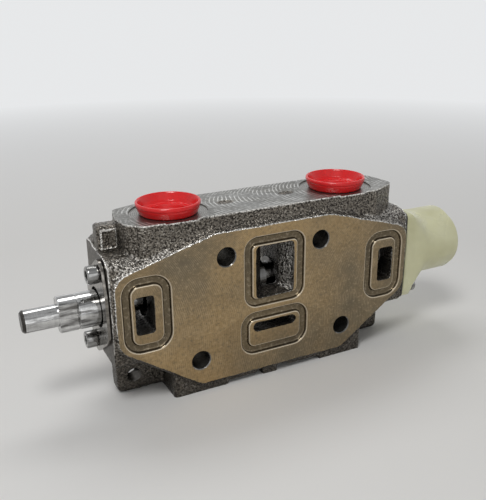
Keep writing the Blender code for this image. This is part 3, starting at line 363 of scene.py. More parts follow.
class Sheet:
    """Adds nodes to one node tree and links them."""

    def __init__(self, tree: bpy.types.NodeTree) -> None:
        """Keeps the tree."""
        self.tree = tree

    def add(self, kind: str, inputs: dict[str | int, Any] | None = None, **settings: Any) -> bpy.types.Node:
        """Adds one node.

        Args:
            kind: the node's type, without its ShaderNode prefix.
            inputs: what goes into its sockets, by name or number: a socket to link, or a value.
            settings: the node's own properties.

        Returns:
            The node.
        """
        node = self.tree.nodes.new("ShaderNode" + kind)
        for name, value in settings.items():
            setattr(node, name, value)
        for key, value in (inputs or {}).items():
            if isinstance(value, bpy.types.NodeSocket):
                self.tree.links.new(value, node.inputs[key])
            else:
                node.inputs[key].default_value = value
        return node

    def math(self, operation: str, *values: Any) -> bpy.types.NodeSocket:
        """A Math node's result from values or sockets."""
        return self.add("Math", dict(enumerate(values)), operation=operation).outputs[0]

    def ramp(self, value: bpy.types.NodeSocket, low: float, high: float, to: Point = (0.0, 1.0)) -> Any:
        """Stretches a value between two limits, clamped."""
        inputs = {"Value": value, "From Min": low, "From Max": high, "To Min": to[0], "To Max": to[1]}
        return self.add("MapRange", inputs).outputs["Result"]

    def mix(self, factor: Any, first: Any, second: Any) -> bpy.types.NodeSocket:
        """Mixes two colours, each a socket or a plain colour."""
        node = self.add("Mix", data_type="RGBA")
        for index, value in ((0, factor), (6, first), (7, second)):
            if isinstance(value, bpy.types.NodeSocket):
                self.tree.links.new(value, node.inputs[index])
            elif index:
                node.inputs[index].default_value = (*value, 1.0)
            else:
                node.inputs[index].default_value = value
        return node.outputs[2]


class Effect:
    """A shared effect: a node group with named inputs and outputs, built once."""

    def __init__(self, name: str, inputs: dict[str, float | None], outputs: Sequence[str]) -> None:
        """Makes the empty group. An input without a default is a vector."""
        self.group = bpy.data.node_groups.new(name, "ShaderNodeTree")
        for label, default in inputs.items():
            kind = "NodeSocketVector" if default is None else "NodeSocketFloat"
            socket = self.group.interface.new_socket(label, in_out="INPUT", socket_type=kind)
            if default is not None:
                socket.default_value = default
        for label in outputs:
            self.group.interface.new_socket(label, in_out="OUTPUT", socket_type="NodeSocketFloat")
        self.sheet = Sheet(self.group)
        self.inputs = self.group.nodes.new("NodeGroupInput").outputs
        self.outputs = self.group.nodes.new("NodeGroupOutput").inputs

    def give(self, label: str, value: bpy.types.NodeSocket) -> None:
        """Links a result to one of the group's outputs."""
        self.group.links.new(value, self.outputs[label])

    def use(self, sheet: Sheet, inputs: dict[str, Any]) -> bpy.types.NodeOutputs:
        """Places the group in a material with its own values."""
        node = sheet.tree.nodes.new("ShaderNodeGroup")
        node.node_tree = self.group
        for key, value in inputs.items():
            if isinstance(value, bpy.types.NodeSocket):
                sheet.tree.links.new(value, node.inputs[key])
            else:
                node.inputs[key].default_value = value
        return node.outputs


def grain_effect() -> Effect:
    """Grit of one size as a height, and two masks: its brightest grains, to be painted as glints, and broad patches."""
    effect = Effect("grain", {"Vector": None, "Grains": 1500.0, "Patches": 60.0}, ("Height", "PaintedGlint", "Patch"))
    sheet, given = effect.sheet, effect.inputs
    cells = sheet.add("TexVoronoi", {"Vector": given["Vector"], "Scale": given["Grains"]}, feature="SMOOTH_F1")
    fine = sheet.add("TexNoise", {"Vector": given["Vector"], "Scale": given["Grains"], "Detail": 3.0})
    height = sheet.math("ADD", sheet.math("MULTIPLY", cells.outputs["Distance"], -0.8), fine.outputs["Fac"])
    effect.give("Height", height)
    # painted glints: the brightest grains, which the cast skin paints light as highlights
    spots = sheet.add("TexNoise", {"Vector": given["Vector"], "Scale": sheet.math("MULTIPLY", given["Grains"], 0.95),
                                   "Detail": 2.0, "Roughness": 0.6})
    effect.give("PaintedGlint", sheet.ramp(spots.outputs["Fac"], 0.53, 0.66))
    broad = sheet.add("TexNoise", {"Vector": given["Vector"], "Scale": given["Patches"], "Detail": 4.0})
    effect.give("Patch", sheet.ramp(broad.outputs["Fac"], 0.35, 0.65))
    return effect


def arcs_effect() -> Effect:
    """Arcs left by a rotary cutter fed along X: their height, and a mask that breaks them up."""
    inputs = {"Vector": None, "Radius": 0.036, "Offset": 0.012, "Pitch": 0.0022, "Waver": 0.3}
    effect = Effect("cutter_arcs", inputs, ("Height", "Bright"))
    sheet, given = effect.sheet, effect.inputs
    split = sheet.add("SeparateXYZ", {0: given["Vector"]}).outputs
    across = sheet.math("SUBTRACT", split["Y"], given["Offset"])
    squares = sheet.math("SUBTRACT", sheet.math("POWER", given["Radius"], 2.0), sheet.math("POWER", across, 2.0))
    chord = sheet.math("SQRT", sheet.math("MAXIMUM", squares, 0.0))
    path = sheet.math("ADD", split["X"], chord)
    waver = sheet.add("TexNoise", {"Vector": given["Vector"], "Scale": 90.0, "Detail": 2.0}).outputs["Fac"]
    phase = sheet.math("DIVIDE", path, given["Pitch"])
    phase = sheet.math("ADD", phase, sheet.math("MULTIPLY", waver, given["Waver"]))
    wave = sheet.math("SINE", sheet.math("MULTIPLY", phase, 2 * math.pi))
    effect.give("Height", sheet.ramp(wave, -1.0, 1.0))
    strength = sheet.add("TexNoise", {"Vector": given["Vector"], "Scale": 140.0, "Detail": 1.0}).outputs["Fac"]
    ridge = sheet.math("MULTIPLY", sheet.ramp(wave, 0.35, 1.0), sheet.ramp(strength, 0.38, 0.62))
    effect.give("Bright", ridge)
    return effect


def rings_effect() -> Effect:
    """Fine rings round two upright axes, one on each side of the middle, as a spotfacing tool leaves them."""
    effect = Effect("turning_rings", {"Vector": None, "Offset": 0.0546, "Pitch": 0.0006}, ("Height", "Bright"))
    sheet, given = effect.sheet, effect.inputs
    split = sheet.add("SeparateXYZ", {0: given["Vector"]}).outputs
    across = sheet.math("SUBTRACT", sheet.math("ABSOLUTE", split["X"]), given["Offset"])
    squares = sheet.math("ADD", sheet.math("POWER", across, 2.0), sheet.math("POWER", split["Y"], 2.0))
    turns = sheet.math("DIVIDE", sheet.math("SQRT", squares), given["Pitch"])
    wave = sheet.math("SINE", sheet.math("MULTIPLY", turns, 2 * math.pi))
    effect.give("Height", sheet.ramp(wave, -1.0, 1.0))
    effect.give("Bright", sheet.ramp(wave, 0.3, 1.0))
    return effect


class Effects:
    """The shared effects, built once."""

    def __init__(self) -> None:
        """Builds every group."""
        self.grain = grain_effect()
        self.arcs = arcs_effect()
        self.rings = rings_effect()


def new_material(name: str) -> tuple[bpy.types.Material, Sheet, bpy.types.Node]:
    """Starts a material.

    Args:
        name: the material's name.

    Returns:
        The material, its sheet and its Principled BSDF.
    """
    made = bpy.data.materials.new(name)
    made.use_nodes = True
    return made, Sheet(made.node_tree), made.node_tree.nodes["Principled BSDF"]


def set_shader(sheet: Sheet, shader: bpy.types.Node, inputs: dict[str, Any]) -> None:
    """Fills the shader's sockets with values or links."""
    for key, value in inputs.items():
        if isinstance(value, bpy.types.NodeSocket):
            sheet.tree.links.new(value, shader.inputs[key])
        elif isinstance(value, tuple) and len(value) == 3 and shader.inputs[key].type == "RGBA":
            shader.inputs[key].default_value = (*value, 1.0)
        else:
            shader.inputs[key].default_value = value


@dataclass(frozen=True)
class CastIron:
    """Rough oiled cast skin with painted glints on its grains, painted shade in their hollows, in passages and low
    down, and edges rubbed bright in part and painted as highlights in part.
    """

    name: str = "cast_skin"
    # dark of the painted shade: grain hollows, passages and the lower part
    dark: Colour = (0.03, 0.026, 0.022)
    middle: Colour = (0.21, 0.187, 0.157)
    # colour of the painted glints
    painted_glint: Colour = (0.54, 0.5, 0.44)
    # colour of edges rubbed bright and of the painted highlights and light
    worn_and_lit: Colour = (0.88, 0.86, 0.82)
    roughness: Point = (0.2, 0.34)
    grains: float = 1000.0
    relief: float = 0.0006
    # strength of the painted shade low down
    painted_low_shade: float = 0.6

    def make(self, effects: Effects) -> bpy.types.Material:
        """Builds the material."""
        made, sheet, shader = new_material(self.name)
        where = sheet.add("TexCoord").outputs["Object"]
        grain = effects.grain.use(sheet, {"Vector": where, "Grains": self.grains, "Patches": 70.0})
        # grain tone with painted shade: the hollows between the grains painted dark
        grain_and_hollow_shade = sheet.ramp(grain["Height"], 0.0, 0.35)
        colour = sheet.mix(grain_and_hollow_shade, self.dark, self.middle)
        # painted highlight: the brightest grains painted light as glints
        painted_glint_mask = sheet.math("MULTIPLY", grain["PaintedGlint"], sheet.ramp(grain["Patch"], 0.0, 1.0, (0.2, 0.7)))
        colour = sheet.mix(painted_glint_mask, colour, self.painted_glint)
        # painted shade: darker inside the passages
        inside = sheet.add("Attribute", attribute_name="painted_passage_shade").outputs["Fac"]
        colour = sheet.mix(sheet.math("MULTIPLY", inside, 0.85), colour, self.dark)
        # painted shade: the skin painted darker towards the bottom, below 6 cm
        high = sheet.add("SeparateXYZ", {0: where}).outputs["Z"]
        colour = sheet.mix(sheet.ramp(high, 0.06, 0.0, (0.0, self.painted_low_shade)), colour, self.dark)
        # edges partly rubbed bright and partly painted highlight, with painted light on shoulders and a window wall
        wear_and_light = sheet.add("Attribute", attribute_name="wear_and_painted_light").outputs["Fac"]
        broken = sheet.math("MULTIPLY", wear_and_light, sheet.ramp(grain["Height"], -0.15, 0.35, (0.4, 1.0)))
        colour = sheet.mix(sheet.ramp(broken, 0.28, 0.8), colour, self.worn_and_lit)
        bump = sheet.add("Bump", {"Strength": 1.0, "Distance": self.relief, "Height": grain["Height"]})
        set_shader(sheet, shader, {
            "Base Color": colour,
            "Metallic": 0.9,
            "Roughness": sheet.ramp(grain["Patch"], 0.0, 1.0, self.roughness),
            "Normal": bump.outputs["Normal"],
        })
        return made


@dataclass(frozen=True)
class MachinedIron:
    """Iron cut by a tool, oiled and a little stained."""

    name: str
    marks: Marks
    base: Colour
    stain: Colour
    bright: Colour
    roughness: Point = (0.3, 0.45)
    relief: float = 0.00002
    radius: float = 0.036
    offset: float = 0.012
    pitch: float = 0.0022
    contrast: float = 0.75
    patches: float = 26.0
    end_film: float = 0.0

    def height(self, effects: Effects, sheet: Sheet, where: Any) -> tuple[Any, Any]:
        """Lays the tool marks.

        Args:
            effects: the shared effects.
            sheet: the material's sheet.
            where: the place on the surface.

        Returns:
            The marks' height and the mask of their bright ridges, or None for both.
        """
        if self.marks is Marks.FLY_CUT:
            laid = {"Vector": where, "Radius": self.radius, "Offset": self.offset, "Pitch": self.pitch, "Waver": 0.9}
            arcs = effects.arcs.use(sheet, laid)
            return arcs["Height"], arcs["Bright"]
        if self.marks is Marks.FACE_MILLED:
            flat = sheet.add("Mapping", {"Vector": where, "Rotation": (-math.pi / 2, 0, 0)}).outputs[0]
            back = sheet.add("Mapping", {"Vector": flat, "Scale": (-1.0, 1.0, 1.0)}).outputs[0]
            laid = {"Radius": self.radius, "Offset": self.offset, "Pitch": self.pitch, "Waver": 0.7}
            first = effects.arcs.use(sheet, {"Vector": flat, **laid})
            second = effects.arcs.use(sheet, {"Vector": back, **laid})
            height = sheet.math("ADD", first["Height"], second["Height"])
            return height, sheet.math("MULTIPLY", sheet.math("ADD", first["Bright"], second["Bright"]), 0.5)
        if self.marks is Marks.TURNED:
            rings = effects.rings.use(sheet, {"Vector": where, "Offset": self.offset, "Pitch": self.pitch})
            return rings["Height"], rings["Bright"]
        return None, None

    def make(self, effects: Effects) -> bpy.types.Material:
        """Builds the material."""
        made, sheet, shader = new_material(self.name)
        where = sheet.add("TexCoord").outputs["Object"]
        grain = effects.grain.use(sheet, {"Vector": where, "Grains": 2200.0, "Patches": self.patches})
        along = sheet.add("SeparateXYZ", {0: where}).outputs["X"]
        darkening = sheet.math("MAXIMUM", grain["Patch"], sheet.ramp(along, 0.035, 0.085, (0.0, self.end_film)))
        colour = sheet.mix(darkening, self.base, self.stain)
        specks = sheet.add("TexNoise", {"Vector": where, "Scale": 520.0, "Detail": 5.0, "Roughness": 0.7}).outputs["Fac"]
        colour = sheet.mix(sheet.ramp(specks, 0.5, 0.66, (0.0, 0.75)), colour, self.stain)
        colour = sheet.mix(sheet.ramp(specks, 0.47, 0.32, (0.0, 0.4)), colour, self.bright)
        height, bright = self.height(effects, sheet, where)
        relief = sheet.math("MULTIPLY", grain["Height"], 0.35)
        if height is not None:
            relief = sheet.math("ADD", relief, height)
        if bright is not None:
            colour = sheet.mix(sheet.math("MULTIPLY", bright, self.contrast), colour, self.bright)
        # groove lips: partly rubbed bright and partly painted highlight
        if self.marks is Marks.LIPPED:
            wear_and_light = sheet.add("Attribute", attribute_name="wear_and_painted_light").outputs["Fac"]
            colour = sheet.mix(sheet.ramp(wear_and_light, 0.5, 0.9), colour, self.bright)
        # painted shade: darker inside the passages
        inside = sheet.add("Attribute", attribute_name="painted_passage_shade").outputs["Fac"]
        colour = sheet.mix(sheet.math("MULTIPLY", inside, 0.9), colour, SHADE_AND_OIL_DARK)
        bump = sheet.add("Bump", {"Strength": 1.0, "Distance": self.relief, "Height": relief})
        set_shader(sheet, shader, {
            "Base Color": colour,
            "Metallic": 0.9,
            "Roughness": sheet.ramp(specks, 0.3, 0.7, self.roughness),
            "Normal": bump.outputs["Normal"],
        })
        return made


@dataclass(frozen=True)
class Steel:
    """Bright steel, ground, plated or drawn, with fine lines round the spool's axis and dark streaks along it, partly
    oil smudges and partly painted reflection.
    """

    name: str
    base: Colour
    shade: Colour
    roughness: Point = (0.12, 0.25)
    line_scale: float = 900.0
    # strength of the dark streaks: smudges and painted reflection
    darkening: float = 0.0
    relief: float = 0.000004

    def make(self, effects: Effects) -> bpy.types.Material:
        """Builds the material."""
        made, sheet, shader = new_material(self.name)
        where = sheet.add("TexCoord").outputs["Object"]
        turned = sheet.add("Mapping", {"Vector": where, "Scale": (self.line_scale, 60.0, 60.0)}).outputs[0]
        lines = sheet.add("TexNoise", {"Vector": turned, "Scale": 1.0, "Detail": 3.0}).outputs["Fac"]
        # dark streaks along X: oil smudges, and painted reflection bands as a polished rod shows them
        stretched_along_axis = sheet.add("Mapping", {"Vector": where, "Scale": (35.0, 330.0, 330.0)}).outputs[0]
        smudge_and_reflection_streaks = sheet.add("TexNoise", {"Vector": stretched_along_axis, "Scale": 1.0, "Detail": 4.0, "Roughness": 0.65}).outputs["Fac"]
        grain = effects.grain.use(sheet, {"Vector": where, "Grains": 1800.0, "Patches": 420.0})
        darkening = sheet.math("MULTIPLY", sheet.ramp(smudge_and_reflection_streaks, 0.42, 0.6), self.darkening)
        colour = sheet.mix(sheet.ramp(lines, 0.4, 0.7, (0.0, 0.4)), self.base, self.shade)
        colour = sheet.mix(sheet.math("MULTIPLY", grain["Patch"], 0.4), colour, self.shade)
        # painted shade inside the bore, together with the smudge and painted reflection streaks
        inside = sheet.add("Attribute", attribute_name="painted_passage_shade").outputs["Fac"]
        colour = sheet.mix(sheet.math("MAXIMUM", darkening, sheet.math("MULTIPLY", inside, 0.8)), colour, SHADE_AND_OIL_DARK)
        bump = sheet.add("Bump", {"Strength": 1.0, "Distance": self.relief, "Height": lines})
        set_shader(sheet, shader, {
            "Base Color": colour,
            "Metallic": 1.0,
            "Roughness": sheet.ramp(grain["Patch"], 0.0, 1.0, self.roughness),
            "Normal": bump.outputs["Normal"],
        })
        return made


@dataclass(frozen=True)
class Moulded:
    """Moulded plastic or rubber, with a faint cloudiness and handling marks."""

    name: str
    base: Colour
    cloud: Colour
    roughness: Point = (0.22, 0.34)
    relief: float = 0.00001
    subsurface: float = 0.0
    coat: float = 0.0

    def make(self, effects: Effects) -> bpy.types.Material:
        """Builds the material."""
        made, sheet, shader = new_material(self.name)
        where = sheet.add("TexCoord").outputs["Object"]
        grain = effects.grain.use(sheet, {"Vector": where, "Grains": 900.0, "Patches": 38.0})
        colour = sheet.mix(grain["Patch"], self.base, self.cloud)
        bump = sheet.add("Bump", {"Strength": 1.0, "Distance": self.relief, "Height": grain["Height"]})
        set_shader(sheet, shader, {
            "Base Color": colour,
            "Roughness": sheet.ramp(grain["Patch"], 0.0, 1.0, self.roughness),
            "Normal": bump.outputs["Normal"],
            "Subsurface Weight": self.subsurface,
            "Subsurface Radius": (0.006, 0.006, 0.003),
            "Coat Weight": self.coat,
        })
        return made


CAST_SKIN = CastIron()
STACKING_FACE = MachinedIron("milled_stacking_face", Marks.FACE_MILLED, (0.41, 0.284, 0.14), (0.18, 0.148, 0.1),
                             (0.6, 0.47, 0.3), (0.26, 0.4), 0.000012, 0.085, 0.03, 0.0012, 0.5, 16.0, 0.9)
PAD_TOP = MachinedIron("milled_port_pad", Marks.FLY_CUT, (0.25, 0.246, 0.23), (0.15, 0.146, 0.134),
                       (0.85, 0.85, 0.82), (0.28, 0.42), 0.000025, 0.036, -0.005, 0.0026)
SPOTFACE = MachinedIron("turned_port_spotface", Marks.TURNED, (0.26, 0.256, 0.24), (0.17, 0.166, 0.152),
                        (0.66, 0.66, 0.63), (0.26, 0.38), 0.00002, offset=0.0546, pitch=0.0011, contrast=0.4)
END_FACE = MachinedIron("milled_end_face", Marks.PLAIN, (0.1, 0.088, 0.073), (0.055, 0.048, 0.04), (0.3, 0.28, 0.25))
BORED_WALL = MachinedIron("bored_wall", Marks.PLAIN, (0.26, 0.25, 0.235), (0.15, 0.145, 0.135), (0.5, 0.48, 0.45),
                          (0.16, 0.26))
GROOVE_WALL = MachinedIron("milled_groove", Marks.LIPPED, (0.2, 0.155, 0.094), (0.12, 0.097, 0.065),
                           (0.64, 0.55, 0.42), (0.12, 0.22))
GROUND_STEEL = Steel("ground_spool_steel", (0.7, 0.7, 0.695), (0.45, 0.447, 0.44), (0.07, 0.18), 1600.0, 0.8)
DARK_STEEL = Steel("blackened_spool_end", (0.07, 0.066, 0.06), (0.035, 0.033, 0.03), (0.25, 0.4), 300.0)
ZINC_STEEL = Steel("zinc_plated_steel", (0.48, 0.48, 0.47), (0.3, 0.296, 0.287), (0.1, 0.2), 500.0, 0.6)
PLATE_STEEL = Steel("oiled_plate_steel", (0.36, 0.34, 0.31), (0.2, 0.185, 0.165), (0.12, 0.24), 60.0, 0.5)
WIRE_STEEL = Steel("spring_wire", (0.34, 0.34, 0.35), (0.2, 0.2, 0.21), (0.25, 0.4), 200.0)
NYLON = Moulded("natural_nylon", (0.69, 0.68, 0.455), (0.56, 0.545, 0.33), (0.26, 0.38), 0.00005, 0.15)
RED_PLASTIC = Moulded("red_plastic", (0.78, 0.01, 0.012), (0.7, 0.008, 0.01), (0.2, 0.28), 0.000004)
NITRILE = Moulded("nitrile_rubber", (0.02, 0.02, 0.021), (0.035, 0.034, 0.033), (0.4, 0.6))
FIBRE = Moulded("gasket_fibre", (0.06, 0.058, 0.05), (0.035, 0.034, 0.03), (0.7, 0.85), 0.00004)


@dataclass
class Groove:
    """A seal groove round an opening of the stacking face."""

    centre: Point
    width: float
    height: float
    radius: float
    groove_width: float = 4.2
    depth: float = 1.9
    lip: float = 0.9
    floor_round: float = 0.95

    def cutter(self) -> bmesh.types.BMesh:
        """The shape that mills it: a round-cornered loop with rounded lips and floor corners."""
        half, top = self.groove_width / 2, HALF_THICKNESS
        floor, above = top - self.depth, top + 1.0
        side = [(half + self.lip, above), (half + self.lip, top)]
        for step in (1, 2, 3):
            turn = math.pi / 2 * step / 3
            side.append((half + self.lip * (1 - math.sin(turn)), top - self.lip * (1 - math.cos(turn))))
        for step in (0, 1, 2, 3):
            turn = math.pi / 2 * step / 3
            in_by = self.floor_round * (1 - math.cos(turn))
            side.append((half - in_by, floor + self.floor_round * (1 - math.sin(turn))))
        section = side + [(-offset, height) for offset, height in reversed(side)]
        turn = self.radius - half
        wide, tall = self.width / 2 - half - turn, self.height / 2 - half - turn
        x, y = self.centre
        bm = bmesh.new()
        verts = [bm.verts.new((x - wide, y - tall - turn - offset, height)) for offset, height in section]
        moving = verts + [bm.edges.new(pair) for pair in zip(verts, verts[1:] + verts[:1])]
        for step, (u, v, across) in enumerate(((1, -1, wide), (1, 1, tall), (-1, 1, wide), (-1, -1, tall))):
            lines = [item for item in moving if isinstance(item, bmesh.types.BMEdge)]
            drawn = bmesh.ops.extrude_edge_only(bm, edges=lines)["geom"]
            tips = [item for item in drawn if isinstance(item, bmesh.types.BMVert)]
            along = Matrix.Rotation(math.pi / 2 * step, 3, "Z") @ Vector((2 * across, 0, 0))
            bmesh.ops.translate(bm, vec=along, verts=tips)
            rim = [item for item in drawn if isinstance(item, bmesh.types.BMEdge)
                   and item.verts[0] in tips and item.verts[1] in tips]
            made = bmesh.ops.spin(bm, geom=tips + rim, cent=(x + u * wide, y + v * tall, 0), axis=(0, 0, 1),
                                  dvec=(0, 0, 0), angle=math.pi / 2, steps=8, use_duplicate=False)
            moving = made["geom_last"]
        return closed_up(bm, ON_XZ)


@dataclass
class Casting:
    """The iron casting: a raw casting with its cores, then the machining."""

    allowance: float = 1.5
    swell: float = 2.0
    face_corners: tuple[Point, ...] = ((47.5, 5.9), (94.3, 38.3), (94.3, 78.8), (37.0, 94.9))
    pad_top: float = 104.5
    spotface: Point = (21.8, 0.7)
    port_x: float = 54.6
    rod_holes: tuple[Point, ...] = ((30.6, 80.6), (47.6, 21.0))
    lug_hole: Point = (81.4, 10.4)
    voxel: float = 0.85
    relief: float = 0.16
    grooves: tuple[Groove, ...] = field(default_factory=lambda: (
        Groove((-77.4, SPOOL_Z), 26.7, 43.0, 9.5),
        Groove((77.4, SPOOL_Z), 26.7, 43.0, 9.5),
        Groove((0.0, 67.9), 38.4, 41.7, 7.5),
        Groove((0.0, 29.9), 43.4, 25.9, 8.5),
    ))

    def block_shape(self) -> bmesh.types.BMesh:
        """The raw block between the stacking faces."""
        corners = mirrored(self.face_corners)
        sides = (8.0, 12.0, 12.0, 8.0)
        outline = rounded(self.grown(corners, self.swell), sides + sides[::-1])
        reach = HALF_THICKNESS + self.allowance
        return prism(outline, -reach, reach, ON_XZ, self.swell + self.allowance)

    @staticmethod
    def grown(corners: Sequence[Point], distance: float) -> list[Point]:
        """A convex outline with each side moved out."""
        lines = []
        for (x1, y1), (x2, y2) in zip(corners, corners[1:] + corners[:1]):
            length = math.hypot(x2 - x1, y2 - y1)
            nx, ny = (y2 - y1) / length, (x1 - x2) / length
            lines.append((nx, ny, nx * x1 + ny * y1 + distance))
        moved = []
        for (a1, b1, c1), (a2, b2, c2) in zip(lines[-1:] + lines[:-1], lines):
            det = a1 * b2 - a2 * b1
            moved.append(((c1 * b2 - c2 * b1) / det, (a1 * c2 - a2 * c1) / det))
        return moved

    def boss_shape(self) -> bmesh.types.BMesh:
        """The end bosses with the shoulders over them, before their front is sloped."""
        end = END_FACE_X + self.allowance
        corners = mirrored([(end, 26.6), (end, 88.6), (93.5, 92.4), (78.0, 95.5)])
        return prism(rounded(corners, 3.0, 3), -20.0, 20.0, ON_XZ, 1.5)

    @staticmethod
    def shoulder_form() -> bmesh.types.BMesh:
        """The outline that the shoulders keep to, seen along the spool."""
        slope = [(-21, -5), (21, -5), (21, 95), (10, 95), (10, 88.4), (-9, 88.4), (-15, 87.4), (-19, 85.2), (-21, 82.2)]
        return prism(slope, -120.0, 120.0, ON_YZ)

    def pad_shape(self) -> bmesh.types.BMesh:
        """The raised pad that the work ports open in."""
        left, right, front, rear = -84.8, 89.5, -19.8, 22.4
        corners = [
            (left + 9, front), (right - 17.5, front), (right + 0.3, front + 9), (right, -3), (right - 2, 11),
            (right - 22, rear), (left + 20, rear), (left + 3, rear - 5.5), (left, -1), (left + 1.5, front + 8),
        ]
        return prism(rounded(corners, 5.0, 4), 72.0, self.pad_top + self.allowance, UPRIGHT)

    @staticmethod
    def lug_shape(side: int) -> bmesh.types.BMesh:
        """One of the two ears low on the rear half."""
        corners = [(91.5, 0.4), (91.5, 20.0), (96.4, 32.0), (93.4, 38.0), (59.0, 38.0), (59.0, 0.4)]
        radii = [3.5, 5.0, 0, 0, 0, 0]
        if side < 0:
            corners, radii = [(-x, z) for x, z in reversed(corners)], radii[::-1]
        return prism(rounded(corners, radii, 5), -8.5, 2.5, ON_XZ, 0.8)

    def tag_shapes(self) -> list[bmesh.types.BMesh]:
        """The four ribs of the raised square frame on the block at the upper left."""
        left, low, wide, tall, raised, rib = -93.6, 87.4, 10.9, 12.2, 0.75, 1.15
        ribs = ((0, 0, wide, rib), (0, tall - rib, wide, tall), (0, 0, rib, tall), (wide - rib, 0, wide, tall))
        return [block((left + x0, -raised, low + z0), (left + x1, 2.0, low + z1), 0.3) for x0, z0, x1, z1 in ribs]

    def cores(self) -> list[bmesh.types.BMesh]:
        """What the foundry's cores leave open: side windows, slot and waisted centre window."""
        reach = HALF_THICKNESS + 2 * self.allowance
        shapes = [prism(rectangle((side * 78.8, SPOOL_Z), 11.0, 22.1, 1.5), -reach, reach, ON_XZ) for side in (-1, 1)]
        shapes.append(prism(rectangle((0, 33.6), 28.8, 6.0, 2.95, 8), -reach, reach, ON_XZ))
        mouth, throat = ((0.0, 67.5), 25.0, 32.0, 2.5), ((2.2, 67.5), 11.5, 29.0, 1.5)
        rings = []
        for height, opening in ((-reach, mouth), (-21.0, mouth), (-12.0, throat), (12.0, throat), (21.0, mouth),
                                (reach, mouth)):
            rings.append([(u, v, height) for u, v in rectangle(*opening, 6)])
        shapes.append(bridged(rings, ON_XZ))
        return shapes

    @staticmethod
    def underside() -> list[bmesh.types.BMesh]:
        """The shallow arches between the feet, which leave a small boss with its notches."""
        return [
            block((-30.0, -25.0, -4.0), (-9.0, 25.0, 2.0)), block((4.7, -25.0, -4.0), (33.0, 25.0, 2.0)),
            block((2.7, -25.5, -5.0), (10.7, 25.5, 4.0)), block((-11.0, -25.5, -5.0), (-7.0, 25.5, 4.0)),
        ]

    def raw(self, slots: int) -> bpy.types.Object:
        """Joins the raw shapes, opens the cores and gives the casting its skin."""
        boss = as_object("boss", self.boss_shape())
        combine(boss, self.shoulder_form(), Cut.KEEP_COMMON)
        casting = as_object("valve_casting", self.block_shape())
        shoulders = bmesh.new()
        shoulders.from_mesh(boss.data)
        bpy.data.objects.remove(boss)
        feet = block((-64.0, -21.5, -self.allowance), (64.0, 21.5, 40.0), 1.5)
        tag = block((-95.2, 0.0, 80.0), (-75.2, 10.0, 101.2), 1.5)
        shapes = [shoulders, self.pad_shape(), feet, self.lug_shape(-1), self.lug_shape(1), tag]
        for shape in shapes:
            combine(casting, shape, Cut.JOIN)
        for shape in self.cores() + self.underside():
            combine(casting, shape, Cut.REMOVE)
        remesh = casting.modifiers.new("skin", "REMESH")
        remesh.mode = "VOXEL"
        remesh.voxel_size = self.voxel
        ease = casting.modifiers.new("ease", "SMOOTH")
        ease.iterations = 5
        settled(casting)
        for shape in self.tag_shapes():
            combine(casting, shape, Cut.JOIN)
        self.roughen(casting)
        for _ in range(slots):
            casting.data.materials.append(None)
        return casting

    def roughen(self, casting: bpy.types.Object) -> None:
        """Moves the skin's points in and out, as sand leaves it."""
        normals = [vertex.normal.copy() for vertex in casting.data.vertices]
        for vertex, normal in zip(casting.data.vertices, normals):
            place = vertex.co
            fine = noise.noise(place * 0.62)
            broad = noise.noise(place * 0.13 + Vector((7.0, 3.0, 1.0)))
            vertex.co = place + normal * (self.relief * (1.5 * fine + 1.2 * broad))

    def machine(self, casting: bpy.types.Object) -> None:
        """Mills the faces, then the grooves, and bores and drills every hole."""
        high, ends = HALF_THICKNESS, END_FACE_X
        combine(casting, block((-130, -60, -20), (130, -high, 130)), Cut.REMOVE, Surface.STACKING)
        combine(casting, block((-130, high, -20), (130, 60, 130)), Cut.REMOVE, Surface.STACKING)
        combine(casting, block((-130, -60, self.pad_top), (130, 60, 130)), Cut.REMOVE, Surface.PAD)
        combine(casting, block((-130, -60, -20), (130, 60, 0)), Cut.REMOVE, Surface.ENDS)
        combine(casting, block((-130, -60, -20), (-ends, 60, 130)), Cut.REMOVE, Surface.ENDS)
        combine(casting, block((ends, -60, -20), (130, 60, 130)), Cut.REMOVE, Surface.ENDS)
        for groove in self.grooves:
            combine(casting, groove.cutter(), Cut.REMOVE, Surface.GROOVED)
        combine(casting, self.spool_bore(), Cut.REMOVE, Surface.BORED)
        for side in (-1, 1):
            self.drill_side(casting, side)

    def spool_bore(self) -> bmesh.types.BMesh:
        """The spool's bore, its port galleries and the seal seats at both ends."""
        seat_left, seat_right = 89.5, 90.6
        profile = [
            (0, 98), (18.2, 98), (18.2, 94.6), (14.5, 94.6), (14.5, seat_right), (10.3, seat_right),
            (10.3, 60.1), (14.0, 60.1), (14.0, 49.1), (10.3, 49.1),
            (10.3, -49.1), (14.0, -49.1), (14.0, -60.1), (10.3, -60.1),
            (10.3, -seat_left), (14.5, -seat_left), (14.5, -98), (0, -98),
        ]
        return spun(profile, on_spool_axis(), 72)

